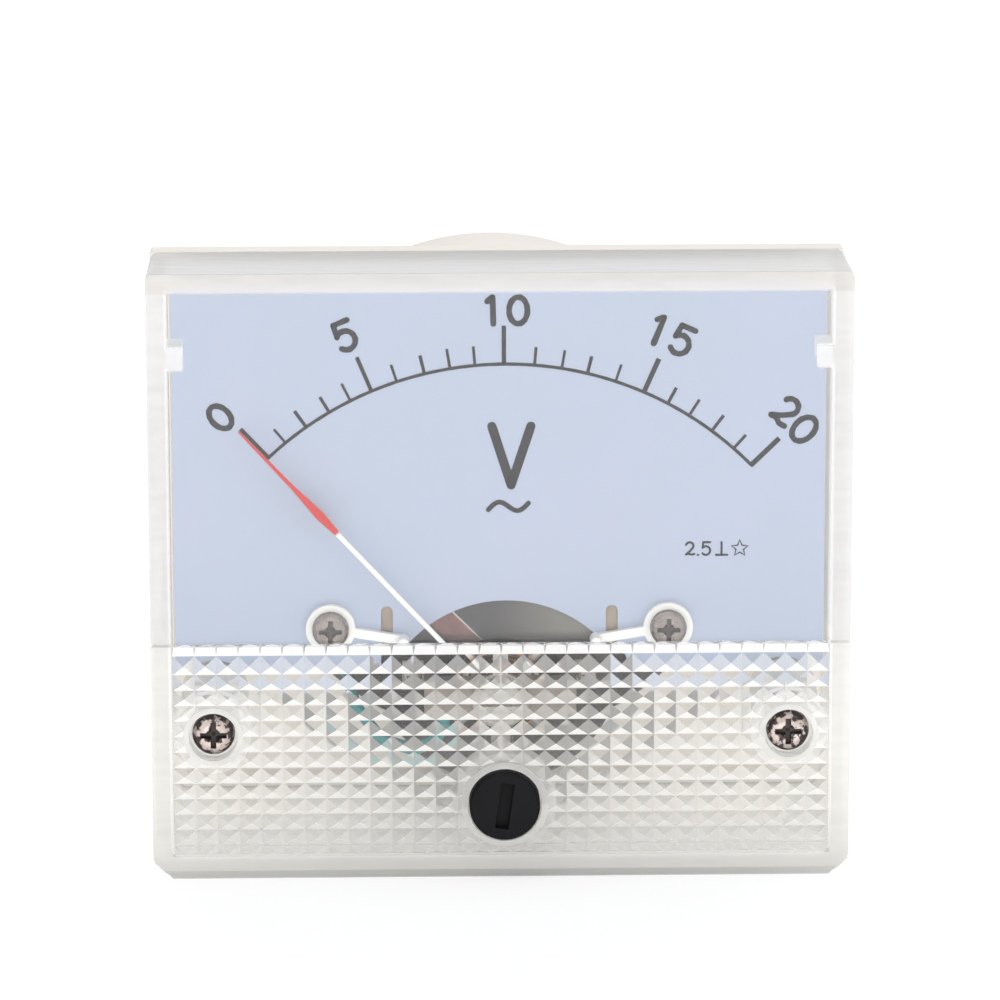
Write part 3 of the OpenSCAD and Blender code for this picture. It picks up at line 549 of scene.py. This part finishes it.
def banded(name, ground, bands, centre, half_span, roughness=0.25):
    """A lacquered body with bare wires and colour bands across X, each band (middle, width, colour)."""
    material, tree, shader = new_material(name, Coat_Weight=0.4)
    mixed, height = skin(tree, shader, ground, [channel * 0.85 for channel in ground[:3]] + [1.0],
                         roughness=roughness, mottle_scale=900.0)
    across = parts_of(tree, vector_math(tree, "SUBTRACT", object_place(tree), centre))["X"]
    fade = 0.04 * MM
    for place, width, colour in bands:
        share = ramp(tree, apart(tree, across, place), width / 2 + fade, width / 2 - fade)
        mixed = blend_colours(tree, share, mixed, colour)
    bare_wires(tree, shader, mixed, calculate(tree, "ABSOLUTE", across), half_span)
    relief(tree, shader, height, 0.003 * MM)
    return material


def bare_wires(tree, shader, mixed, off, half_span):
    """Tinned wire past a body's ends."""
    wires = ramp(tree, off, half_span - 0.02 * MM, half_span + 0.02 * MM)
    wire(tree, shader.inputs["Base Color"], blend_colours(tree, wires, mixed, tone(190, 190, 188)))
    wire(tree, shader.inputs["Metallic"], wires)


def diode_glass():
    """Two columns of glass diodes: the dark bands lie beyond each column's own middle."""
    material, tree, shader = new_material("diode_glass", Coat_Weight=0.8)
    mixed, height = skin(tree, shader, tone(186, 84, 40), tone(150, 60, 28), roughness=0.12,
                         mottle_scale=1200.0)
    column, band_place, half_band, half_span = 6.0 * MM, 7.1 * MM, 0.4 * MM, 2.0 * MM
    across = calculate(tree, "ABSOLUTE", parts_of(tree, object_place(tree))["X"])
    band = ramp(tree, apart(tree, across, band_place), half_band, half_band - 0.1 * MM)
    mixed = blend_colours(tree, band, mixed, tone(28, 26, 26))
    bare_wires(tree, shader, mixed, apart(tree, across, column), half_span)
    relief(tree, shader, height, 0.002 * MM)
    return material


def sleeve(name, colour, dark):
    """The plastic insulation of a lead."""
    return plastic(name, colour, dark, roughness=0.32, grain=3500.0, share=0.7, soften=0.0)


DIAL_SCREW_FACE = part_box("dial_screw_left")[0].y
RESISTOR_BANDS = [(-3.3 * MM, 0.8 * MM, tone(200, 60, 40)), (-1.5 * MM, 0.8 * MM, tone(60, 40, 120)),
                  (0.3 * MM, 0.8 * MM, tone(210, 190, 60)), (3.1 * MM, 0.8 * MM, tone(150, 110, 50))]

FINISHES = {
    "clear_acrylic": clear_acrylic(),
    "ivory_housing": plastic("ivory_housing", tone(249, 243, 235), tone(243, 236, 227), 0.42, share=0.6),
    "black_plastic": plastic("black_plastic", tone(14, 14, 17), tone(9, 9, 11), 0.5, dust=0.03, gloss=0.1),
    "white_nylon": plastic("white_nylon", tone(250, 249, 247), tone(243, 242, 239), 0.34, soften=0.2 * MM),
    "dial_blue": dial_blue(),
    "pointer_paint": pointer_paint(),
    "worn_nickel": worn_nickel(),
    "bright_nickel": metal("bright_nickel", tone(198, 194, 189), tone(174, 169, 164), 0.24,
                           worn=tone(222, 219, 215)),
    "dull_nickel": metal("dull_nickel", tone(170, 160, 154), tone(140, 130, 125), 0.26,
                         worn=tone(205, 199, 194),
                         # painted shade on the lower part of the head and in its cross, with dirt spots
                         shade_and_dirt={"start": DIAL_SCREW_FACE + 0.45 * MM, "end": DIAL_SCREW_FACE + 0.6 * MM,
                               "spots": 0.25, "colour": tone(78, 70, 66)}),
    "brass": metal("brass", tone(198, 174, 128), tone(170, 142, 96), 0.32, worn=tone(226, 206, 166)),
    "bronze_strip": metal("bronze_strip", tone(206, 158, 104), tone(180, 130, 78), 0.28, soften=0.0),
    "tin": metal("tin", tone(196, 196, 192), tone(150, 150, 148), 0.4, grain=2500.0, depth=0.01 * MM),
    "aluminium": metal("aluminium", tone(166, 158, 150), tone(146, 136, 128), 0.45),
    "copper_wire": plain("copper_wire", tone(176, 88, 44), tone(132, 58, 26), 0.002 * MM, roughness=0.3,
                         mottle_scale=2600.0, settings={"Metallic": 0.9, "Coat_Weight": 0.6}),
    "hard_steel": metal("hard_steel", tone(126, 128, 134), tone(100, 102, 108), 0.16, soften=0.0),
    "magnet_alloy": metal("magnet_alloy", tone(98, 98, 102), tone(74, 74, 78), 0.4, turned=PIVOT),
    "soft_iron": soft_iron(),
    "cast_alloy": metal("cast_alloy", tone(186, 172, 158), tone(162, 146, 132), 0.5, grain=3200.0,
                        depth=0.012 * MM, soften=0.15 * MM),
    "board_laminate": plain("board_laminate", tone(176, 128, 72), tone(150, 104, 56), 0.01 * MM, 0.1 * MM,
                            roughness=0.45, grain=2600.0, mottle_scale=420.0),
    "resistor_coat": banded("resistor_coat", tone(70, 150, 160), RESISTOR_BANDS,
                            middle("series_resistor"), 4.75 * MM),
    "diode_glass": diode_glass(),
    "teal_sleeve": sleeve("teal_sleeve", tone(18, 140, 140), tone(10, 112, 114)),
    "red_sleeve": sleeve("red_sleeve", tone(176, 40, 32), tone(140, 26, 22)),
    "ruby": plain("ruby", tone(196, 20, 60), tone(150, 8, 40), 0.001 * MM, roughness=0.06, spread=0.04,
                  mottle_scale=1500.0, settings={"IOR": 1.76, "Transmission_Weight": 0.6}),
    "dial_ink": plain("dial_ink", tone(18, 17, 26), tone(38, 35, 42), 0.006 * MM, mottle_scale=1300.0,
                      share=0.8, grain=4000.0, roughness=0.5, settings={"Specular_IOR_Level": 0.12}),
}

# Nodes whose own finish is a variant of their slot's
OWN_FINISH = {"dial_screw_left": "dull_nickel", "dial_screw_right": "dull_nickel"}


def dress(node, finish):
    data = NODES[node].data
    data.materials.clear()
    data.materials.append(FINISHES[finish])


for part in frame["record"]["subparts"]:
    dress(part["node"], OWN_FINISH.get(part["node"], part["material_slot"]))


# ---------- Pieces ----------

def put_in_scene(name, data):
    thing = bpy.data.objects.new(name, data)
    bpy.context.scene.collection.objects.link(thing)
    return thing


def add_piece(name, mesh, finish, body="meter", stands_for=()):
    """A finished mesh as a piece of the scene, riding on a body."""
    piece = put_in_scene(name, mesh)
    mesh.materials.clear()
    mesh.materials.append(FINISHES[finish])
    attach(piece, body)
    if stands_for:
        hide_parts(*stands_for)
    return piece


def mesh_from(name, points, faces, smooth=False, weld=True):
    """A mesh with its normals outward, and its doubled points welded unless they are meant."""
    mesh = bpy.data.meshes.new(name)
    mesh.from_pydata(points, [], faces)
    tidy = bmesh.new()
    tidy.from_mesh(mesh)
    if weld:
        bmesh.ops.remove_doubles(tidy, verts=tidy.verts, dist=1e-7)
    bmesh.ops.recalc_face_normals(tidy, faces=tidy.faces)
    tidy.to_mesh(mesh)
    tidy.free()
    if smooth:
        mesh.shade_smooth()
    return mesh


# Dial print, in millimetres on the dial's face: x to the right, z up

INK_T = 0.03
DIAL_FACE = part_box("dial_plate")[0].y / MM
SCALE_CENTRE = (0.53, -13.11)
SCALE_R = 31.62
DIVISIONS = 20
FIRST_MARK = -44.04
MARK_STEP = 4.458
# Hand-set marks: swings in degrees about an even scale, as (period in divisions, sine part, cosine part)
MARK_SWINGS = ((20, -0.69, 0.57), (4, -0.28, 0.11))


def scale_angle(value):
    """Degrees from straight up to the mark of a value."""
    angle = FIRST_MARK + MARK_STEP * value
    for period, sine, cosine in MARK_SWINGS:
        turn = 2 * math.pi * value / period
        angle += sine * math.sin(turn) + cosine * math.cos(turn)
    return angle


def on_scale(angle, radius):
    """A point at an angle and a radius about the scale's centre."""
    turn = math.radians(angle)
    return (SCALE_CENTRE[0] + radius * math.sin(turn), SCALE_CENTRE[1] + radius * math.cos(turn))


def arc(cx, cz, rx, rz, start, end, steps=14):
    """Points of an elliptical arc, in degrees anticlockwise from +x."""
    angles = [math.radians(start + (end - start) * i / steps) for i in range(steps + 1)]
    return [(cx + rx * math.cos(a), cz + rz * math.sin(a)) for a in angles]


def heading(points, i):
    """The way a line of points runs at one of them."""
    (x0, z0), (x1, z1) = points[max(i - 1, 0)], points[min(i + 1, len(points) - 1)]
    length = math.hypot(x1 - x0, z1 - z0)
    return (x1 - x0) / length, (z1 - z0) / length


def stroke(points, width, closed=False, waver=0.0, seed=0.0):
    """A pen stroke as quads along the points, with round ends unless it is closed."""
    if closed:
        points = [points[-2]] + points + [points[1]]
    left, right = [], []
    for i, (x, z) in enumerate(points):
        if closed and i in (0, len(points) - 1):
            continue
        dx, dz = heading(points, i)
        half = width / 2 * (1 + waver * math.sin(seed + 2.4 * i)
                            + 0.5 * waver * math.sin(1.7 * seed + 5.3 * i))
        left.append((x - dz * half, z + dx * half))
        right.append((x + dz * half, z - dx * half))
    bands = [[left[i], left[i + 1], right[i + 1], right[i]] for i in range(len(left) - 1)]
    for i, way in () if closed else ((0, -1), (len(points) - 1, 1)):
        dx, dz = heading(points, i)
        base = math.degrees(math.atan2(dz * way, dx * way))
        bands.append(arc(*points[i], width / 2, width / 2, base - 90, base + 90, 8))
    return bands


def ink(name, bands):
    """Flat bands given the thickness of a layer of ink, as one closed mesh a band."""
    points, faces = [], []
    for band in bands:
        start = len(points)
        count = len(band)
        points += [Vector((x, DIAL_FACE, z)) * MM for x, z in band]
        points += [Vector((x, DIAL_FACE - INK_T, z)) * MM for x, z in band]
        faces.append(list(range(start, start + count)))
        faces.append(list(range(start + 2 * count - 1, start + count - 1, -1)))
        for i in range(count):
            after = (i + 1) % count
            faces.append([start + i, start + count + i, start + count + after, start + after])
    return mesh_from(name, points, faces, weld=False)


# Each numeral is a list of strokes in a box one unit high, about its own middle
NUMERALS = {
    "0": [("closed", arc(0, 0, 0.34, 0.5, 0, 360, 32))],
    "1": [("open", [(-0.2, 0.34), (-0.02, 0.5)]), ("open", [(0.0, 0.5), (0.03, -0.5)])],
    "2": [("open", arc(-0.02, 0.22, 0.29, 0.28, 165, -40, 14) + [(-0.02, -0.22), (-0.3, -0.46)]),
          ("open", [(-0.3, -0.46), (-0.1, -0.4), (0.12, -0.48), (0.33, -0.42)])],
    "5": [("open", [(0.3, 0.5), (-0.22, 0.5)]), ("open", [(-0.22, 0.5), (-0.27, 0.06)]),
          ("open", [(-0.27, 0.06)] + arc(-0.02, -0.16, 0.33, 0.34, 118, -140, 18))],
}
NUMERAL_H = 2.6
DIGIT_STEP = 2.35
# Pen widths
PEN = 0.53
LINE_PEN = 0.3
LETTER_PEN = 0.85
WAVE_PEN = 0.45
SMALL_PEN = 0.2
STAR_PEN = 0.15
# Each number of the scale: text, angle, radius and size
SCALE_NUMBERS = (("0", -44.2, 37.4, 0.94), ("5", -23.1, 37.3, 1.0), ("10", 0.1, 36.6, 0.95),
                 ("15", 23.9, 37.4, 1.0), ("20", 45.5, 37.4, 1.0))
# The small marks: their height, their middle's z, and the star's x and inner and outer radius
SMALL_H = 1.2
SMALL_Z = 1.08
STAR_X = 22.2
STAR_RADII = (0.36, 0.8)


def number(text, angle, radius, size):
    """The strokes of a number, turned to stand on the scale."""
    base = on_scale(angle, radius)
    turn = math.radians(angle)
    bands = []
    for place, digit in enumerate(text):
        shift = (place - (len(text) - 1) / 2) * DIGIT_STEP
        for kind, shape in NUMERALS[digit]:
            line = [(x * NUMERAL_H * size, z * NUMERAL_H * size) for x, z in shape]
            for band in stroke(line, PEN, closed=kind == "closed", waver=0.1, seed=1.3 * place + angle):
                bands.append([
                    (base[0] + (x + shift) * math.cos(turn) + z * math.sin(turn),
                     base[1] - (x + shift) * math.sin(turn) + z * math.cos(turn)) for x, z in band])
    return bands


def add_print(name, bands):
    add_piece(name, ink(name, bands), "dial_ink")


def add_dial_print():
    first, last = scale_angle(0), scale_angle(DIVISIONS)
    steps = 90
    line = [on_scale(first + (last - first) * i / steps, SCALE_R) for i in range(steps + 1)]
    add_print("scale_line", stroke(line, LINE_PEN, waver=0.06))
    numbers = []
    for placed_text in SCALE_NUMBERS:
        numbers += number(*placed_text)
    add_print("scale_numbers", numbers)
    left, foot, right = (-0.66, 12.7), (1.1, 7.2), (2.92, 12.7)
    letter = stroke([left, foot], LETTER_PEN) + stroke([foot, right], LETTER_PEN)
    steps = 20
    wave = [(-1.0 + 3.7 * i / steps, 5.1 + 0.16 * i / steps + 0.55 * math.sin(2 * math.pi * i / steps)
             + 0.45 * (i / steps - 0.5)) for i in range(steps + 1)]
    add_print("unit_mark", letter + stroke(wave, WAVE_PEN))


def add_class_marks():
    """Small plain marks at the dial's lower right: a class of 2.5, the sign for upright use and a star."""
    foot = SMALL_Z - SMALL_H / 2
    marks = []
    for digit, x in (("2", 17.6), ("5", 19.1)):
        for _, shape in NUMERALS[digit]:
            marks += stroke([(x + SMALL_H * px, SMALL_Z + SMALL_H * pz) for px, pz in shape], SMALL_PEN)
    point, bar, post = ((18.33, foot), (18.36, foot)), ((20.0, foot), (21.05, foot)), (
        (20.52, foot), (20.52, foot + SMALL_H))
    for line in (point, bar, post):
        marks += stroke(line, SMALL_PEN)
    star = []
    for i in range(11):
        reach = STAR_RADII[i % 2 == 0]
        star.append((STAR_X + reach * math.sin(math.pi * i / 5), SMALL_Z + reach * math.cos(math.pi * i / 5)))
    marks += stroke(star, STAR_PEN, closed=True)
    add_print("class_marks", marks)


# ---------- Geometry Nodes ----------

def start_tree(name, inputs):
    tree = bpy.data.node_groups.new(name, "GeometryNodeTree")
    tree.interface.new_socket("Geometry", in_out="INPUT", socket_type="NodeSocketGeometry")
    for label, kind, value in inputs:
        socket = tree.interface.new_socket(label, in_out="INPUT", socket_type="NodeSocket" + kind)
        if value is not None:
            socket.default_value = value
    tree.interface.new_socket("Geometry", in_out="OUTPUT", socket_type="NodeSocketGeometry")
    return tree, tree.nodes.new("NodeGroupInput").outputs


def finish_tree(tree, geometry, material):
    """Ends a tree: real geometry, with its material."""
    real = new_node(tree, "GeometryNodeRealizeInstances", geometry).outputs[0]
    paint = new_node(tree, "GeometryNodeSetMaterial", inputs=(("Geometry", real), ("Material", material)))
    new_node(tree, "NodeGroupOutput", paint.outputs[0])


def grow(name, tree, values):
    """Runs a tree once with its named inputs, and returns the result as a plain mesh."""
    carrier = put_in_scene(name + "_carrier", bpy.data.meshes.new(name + "_carrier"))
    modifier = carrier.modifiers.new(name, "NODES")
    modifier.node_group = tree
    labels = {item.name: item.identifier for item in tree.interface.items_tree if item.in_out == "INPUT"}
    for label, value in values.items():
        modifier[labels[label]] = value
    graph = bpy.context.evaluated_depsgraph_get()
    mesh = bpy.data.meshes.new_from_object(carrier.evaluated_get(graph))
    carrier.modifiers.remove(modifier)
    bpy.data.objects.remove(carrier)
    mesh.name = name
    return mesh


def instances(tree, points, shape, **placing):
    return new_node(tree, "GeometryNodeInstanceOnPoints", inputs=(
        ("Points", points), ("Instance", shape), *placing.items())).outputs[0]


def switch(tree, test, if_false, if_true):
    return new_node(tree, "GeometryNodeSwitch", input_type="FLOAT", inputs=(
        ("Switch", test), ("False", if_false), ("True", if_true))).outputs[0]


def random_value(tree, low, high, seed, index):
    node = new_node(tree, "FunctionNodeRandomValue", data_type="FLOAT")
    floats = [socket for socket in node.inputs if socket.type == "VALUE"]
    floats[0].default_value = low
    floats[1].default_value = high
    node.inputs["Seed"].default_value = seed
    wire(tree, node.inputs["ID"], index)
    return next(socket for socket in node.outputs if socket.type == "VALUE" and socket.enabled)


def tick_tree():
    """Scale marks along an arc: one a division, with a long mark at every fifth."""
    tree, given = start_tree("Scale Ticks", [
        ("Centre", "Vector", (0, 0, 0)), ("Radius", "Float", 1.0), ("Divisions", "Int", 20),
        ("First Mark", "Float", 0.0), ("Step", "Float", 1.0), ("Short Length", "Float", 1.0),
        ("Long Length", "Float", 2.0), ("Short Width", "Float", 0.1), ("Long Width", "Float", 0.2),
        ("Thickness", "Float", 0.01), ("Material", "Material", None)])
    row = new_node(tree, "GeometryNodeMeshLine", inputs=(
        ("Count", calculate(tree, "ADD", given["Divisions"], 1)),))
    index = tree.nodes.new("GeometryNodeInputIndex").outputs[0]
    # The same law as scale_angle, in nodes
    degrees = times_plus(tree, index, given["Step"], given["First Mark"])
    for period, sine, cosine in MARK_SWINGS:
        phase = times(tree, index, 2 * math.pi / period)
        degrees = times_plus(tree, calculate(tree, "SINE", phase), sine, degrees)
        degrees = times_plus(tree, calculate(tree, "COSINE", phase), cosine, degrees)
    turn = calculate(tree, "RADIANS", degrees)
    spot = join_vector(tree, times(tree, calculate(tree, "SINE", turn), given["Radius"]), 0.0,
                       times(tree, calculate(tree, "COSINE", turn), given["Radius"]))
    placed = new_node(tree, "GeometryNodeSetPosition", inputs=(
        ("Geometry", row.outputs[0]), ("Position", vector_math(tree, "ADD", spot, given["Centre"]))))
    fifth = new_node(tree, "FunctionNodeCompare", data_type="FLOAT", operation="LESS_THAN", inputs=(
        ("A", calculate(tree, "MODULO", index, 5.0)), ("B", 0.5)))
    length, width = (
        times(tree, switch(tree, fifth.outputs[0], given["Short " + side], given["Long " + side]),
              random_value(tree, 1.0 - spread, 1.0 + spread, seed, index))
        for side, spread, seed in (("Length", 0.07, 4), ("Width", 0.15, 9)))
    bar = new_node(tree, "GeometryNodeMeshCube", (1, 1, 1)).outputs[0]
    standing = new_node(tree, "GeometryNodeTransform", inputs=(
        ("Geometry", bar), ("Translation", (0, 0, 0.5)))).outputs[0]
    ticks = instances(tree, placed.outputs[0], standing, Rotation=join_vector(tree, 0.0, turn, 0.0),
                      Scale=join_vector(tree, width, given["Thickness"], length))
    finish_tree(tree, ticks, given["Material"])
    return tree


def add_ticks():
    face = (DIAL_FACE - INK_T / 2) * MM
    mesh = grow("scale_ticks", tick_tree(), {
        "Centre": (SCALE_CENTRE[0] * MM, face, SCALE_CENTRE[1] * MM), "Radius": (SCALE_R - 0.1) * MM,
        "Divisions": DIVISIONS, "First Mark": FIRST_MARK, "Step": MARK_STEP,
        "Short Length": 1.85 * MM, "Long Length": 3.7 * MM, "Short Width": 0.28 * MM,
        "Long Width": 0.42 * MM, "Thickness": INK_T * MM, "Material": FINISHES["dial_ink"]})
    add_piece("scale_ticks", mesh, "dial_ink")


def loop_of_wire(tree, width, length, corner, gauge):
    """One turn of wire: a rectangle in X and Y with round corners."""
    path = new_node(tree, "GeometryNodeCurvePrimitiveQuadrilateral", inputs=(
        ("Width", width), ("Height", length))).outputs[0]
    fillet = new_node(tree, "GeometryNodeFilletCurve", mode="POLY", inputs=(
        ("Curve", path), ("Count", 5), ("Radius", corner))).outputs[0]
    section = new_node(tree, "GeometryNodeCurvePrimitiveCircle", inputs=(
        ("Resolution", 8), ("Radius", times(tree, gauge, 0.5)))).outputs[0]
    return new_node(tree, "GeometryNodeCurveToMesh", inputs=(
        ("Curve", fillet), ("Profile Curve", section))).outputs[0]


def coil_tree(layers):
    """The turns of a flat coil, laid side by side in layers, each nested in the gaps of the one below."""
    tree, given = start_tree("Coil Turns", [
        ("Width", "Float", 10.0 * MM), ("Length", "Float", 12.0 * MM), ("Corner", "Float", 0.6 * MM),
        ("Gauge", "Float", 0.16 * MM), ("Turns", "Int", 10), ("Place", "Vector", (0, 0, 0)),
        ("Middle", "Vector", (0, 0, 0)), ("Lean", "Float", 0.0), ("Material", "Material", None)])
    gathered = tree.nodes.new("GeometryNodeJoinGeometry")
    nesting = 0.86
    for layer in range(layers):
        inset = times(tree, given["Gauge"], 1.0 + 2 * nesting * layer)
        width, length = (calculate(tree, "SUBTRACT", given[side], inset) for side in ("Width", "Length"))
        turn = loop_of_wire(tree, width, length, given["Corner"], given["Gauge"])
        gaps = calculate(tree, "SUBTRACT", given["Turns"], 1.0 + layer % 2)
        half = times(tree, times(tree, gaps, given["Gauge"]), -0.5)
        row = new_node(tree, "GeometryNodeMeshLine", inputs=(
            ("Count", calculate(tree, "SUBTRACT", given["Turns"], layer % 2)),
            ("Start Location", vector_math(tree, "ADD", given["Middle"], join_vector(tree, 0.0, 0.0, half))),
            ("Offset", join_vector(tree, 0.0, 0.0, given["Gauge"]))))
        tree.links.new(instances(tree, row.outputs[0], turn), gathered.inputs[0])
    leant = new_node(tree, "GeometryNodeTransform", inputs=(
        ("Geometry", gathered.outputs[0]), ("Translation", given["Place"]),
        ("Rotation", join_vector(tree, 0.0, given["Lean"], 0.0))))
    finish_tree(tree, leant.outputs[0], given["Material"])
    return tree


REST_ANGLE = -42.9
COIL_W = 10.7
COIL_GAUGE = 0.165


def add_coil_turns():
    low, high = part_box("coil_winding")
    mesh = grow("coil_turns", coil_tree(3), {
        "Width": COIL_W * MM, "Length": high.y - low.y, "Corner": 0.6 * MM, "Gauge": COIL_GAUGE * MM,
        "Turns": 10, "Place": PIVOT, "Middle": (0.0, (low.y + high.y) / 2, 0.0),
        "Lean": math.radians(REST_ANGLE), "Material": FINISHES["copper_wire"]})
    mesh.shade_smooth()
    add_piece("coil_turns", mesh, "copper_wire", body="moving_coil",
              stands_for=["coil_winding"])


add_dial_print()
add_class_marks()
add_ticks()
add_coil_turns()


# ---------- Threads ----------

THREAD_SAMPLES = 8
THREAD_SIDES = 28
# Depth of the thread's groove as a share of its pitch, and how far the shank's end is turned down
GROOVE = 0.56
END_CUT = 0.35 * MM


def thread_height(phase):
    """The thread's profile over one pitch: a root, a flank, a narrow crest and a flank."""
    return min(1.0, max(0.0, (0.5 - abs(phase - 0.5)) * 2.9 - 0.32))


def rings_to_faces(first, rings, sides):
    """Quads between rings of points, and a face over each end."""
    faces = [[near + i, near + (i + 1) % sides, near + sides + (i + 1) % sides, near + sides + i]
             for near in range(first, first + (rings - 1) * sides, sides) for i in range(sides)]
    last = first + (rings - 1) * sides
    return faces + [list(range(first, first + sides)), list(range(last, last + sides))]


def hex_head(centre, flats, start, end, on_side):
    """A hexagon head about Y, its outer corners turned off."""
    points = []
    turn = math.radians(30 if on_side else 0)
    corner = flats / math.sqrt(3)
    rims = ((start, 0.9), (start + 0.07 * flats, 1.0), (end - 0.03 * flats, 1.0), (end, 0.97))
    for y, reach in rims:
        for i in range(6):
            angle = turn + math.pi / 3 * i
            points.append((centre.x + corner * reach * math.cos(angle), y,
                           centre.z + corner * reach * math.sin(angle)))
    return points, rings_to_faces(0, len(rims), 6)


def threaded_stud(name, node, radius, pitch, head_t, finish):
    """A hexagon head with a threaded shank, in place of a plain stud."""
    low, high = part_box(node)
    centre = middle(node)
    wide, tall = high.x - low.x, high.z - low.z
    points, faces = hex_head(centre, min(wide, tall), low.y, low.y + head_t, on_side=tall > wide)
    first = len(points)
    start, end = low.y + head_t - 0.3 * MM, high.y
    rows = round((end - start) / pitch * THREAD_SAMPLES)
    for j in range(rows + 1):
        y = start + (end - start) * j / rows
        for i in range(THREAD_SIDES):
            turn = 2 * math.pi * i / THREAD_SIDES
            phase = ((y - start) / pitch - i / THREAD_SIDES) % 1.0
            thread = radius - GROOVE * pitch * (1 - thread_height(phase))
            r = min(thread, radius - END_CUT + 0.8 * (end - y))
            points.append((centre.x + r * math.cos(turn), y, centre.z + r * math.sin(turn)))
    faces += rings_to_faces(first, rows + 1, THREAD_SIDES)
    mesh = mesh_from(name, points, faces, smooth=True)
    mesh.set_sharp_from_angle(angle=math.radians(35))
    add_piece(name, mesh, finish, stands_for=[node])


for side in ("left", "right"):
    threaded_stud("terminal_screw_" + side, "terminal_stud_" + side,
                  radius=2.0 * MM, pitch=0.7 * MM, head_t=2.6 * MM, finish="brass")
    threaded_stud("panel_screw_" + side, "panel_stud_" + side,
                  radius=1.5 * MM, pitch=0.5 * MM, head_t=1.8 * MM, finish="bright_nickel")


# ---------- Light, floor and camera ----------

WORLD_LIGHT = 0.45
FLOOR_GLOW = 0.66
FLOOR_Z = cad_box[0][2]
TABLE_LIGHT_Y = -0.371
# Each light: place, target, size in metres and power in watts
LIGHTS = {
    "key_light": ((-0.2, -0.3, 0.75), (0, 0, 0), (0.4, 0.4), 0.95),
    "fill_light": ((0.55, -0.45, 0.25), (0, 0, 0), (0.5, 0.5), 0.75),
    "front_light": ((0.0, -0.6, -0.01), (0, 0, 0), (0.6, 0.25), 1.05),
    "table_light": ((0.0, TABLE_LIGHT_Y, FLOOR_Z + 0.5 * MM), (0.0, TABLE_LIGHT_Y, 1.0), (0.9, 0.7), 2.4),
    "back_light": ((0.1, 0.6, 0.5), (0, 0, 0), (0.6, 0.4), 1.6),
}


def seen_plainly(tree):
    """1 for what the camera sees, directly, in gloss or through the cover."""
    path = tree.nodes.new("ShaderNodeLightPath").outputs
    return largest(tree, path["Is Camera Ray"], path["Is Glossy Ray"], path["Is Transmission Ray"])


def white_stage():
    """A white room: lit softly all round, and plain white to the camera, to gloss and through the cover."""
    world = bpy.data.worlds.new("white_room")
    bpy.context.scene.world = world
    world.use_nodes = True
    tree = world.node_tree
    background = tree.nodes["Background"]
    background.inputs["Color"].default_value = (1, 1, 1, 1)
    wire(tree, background.inputs["Strength"], ramp(tree, seen_plainly(tree), 0.0, 1.0, WORLD_LIGHT, 1.0))


def add_floor():
    half = 3.0
    mesh = mesh_from("floor", [(-half, -half, FLOOR_Z), (half, -half, FLOOR_Z), (half, half, FLOOR_Z),
                               (-half, half, FLOOR_Z)], [[0, 1, 2, 3]])
    floor = put_in_scene("floor", mesh)
    material, tree, shader = new_material("floor_white", Roughness=1.0, Specular_IOR_Level=0.0)
    paint = effect(tree, "mottle", colour=tone(196, 196, 196), patch_colour=tone(194, 194, 194), scale=5.0,
                   share=0.5)
    wire(tree, shader.inputs["Base Color"], paint["Colour"])
    shader.inputs["Emission Color"].default_value = (1, 1, 1, 1)
    glow = times(tree, seen_plainly(tree), FLOOR_GLOW)
    wire(tree, shader.inputs["Emission Strength"], glow)
    mesh.materials.append(material)


def add_softbox(name, place, target, size, power):
    light = bpy.data.lights.new(name, "AREA")
    light.shape = "RECTANGLE"
    light.size, light.size_y = size
    light.energy = power
    lamp = put_in_scene(name, light)
    lamp.location = place
    lamp.rotation_euler = (Vector(target) - Vector(place)).to_track_quat("-Z", "Y").to_euler()
    lamp.visible_camera = False
    lamp.visible_transmission = False


def add_camera():
    data = bpy.data.cameras.new("camera")
    camera = put_in_scene("camera", data)
    data.sensor_width = 36.0
    data.lens = 193.64
    data.clip_start = 0.01
    data.clip_end = 10.0
    tilt, swing, roll = 12.2, 1.32, -0.09
    camera.location = Vector((-11.07, -492.53, 110.39)) * MM
    camera.rotation_euler = (Matrix.Rotation(math.radians(-swing), 3, "Z")
                             @ Matrix.Rotation(math.radians(90 - tilt), 3, "X")
                             @ Matrix.Rotation(math.radians(roll), 3, "Z")).to_euler()
    bpy.context.scene.camera = camera


white_stage()
add_floor()
for light_name, values in LIGHTS.items():
    add_softbox(light_name, *values)
add_camera()
bpy.context.scene.view_settings.view_transform = "Standard"
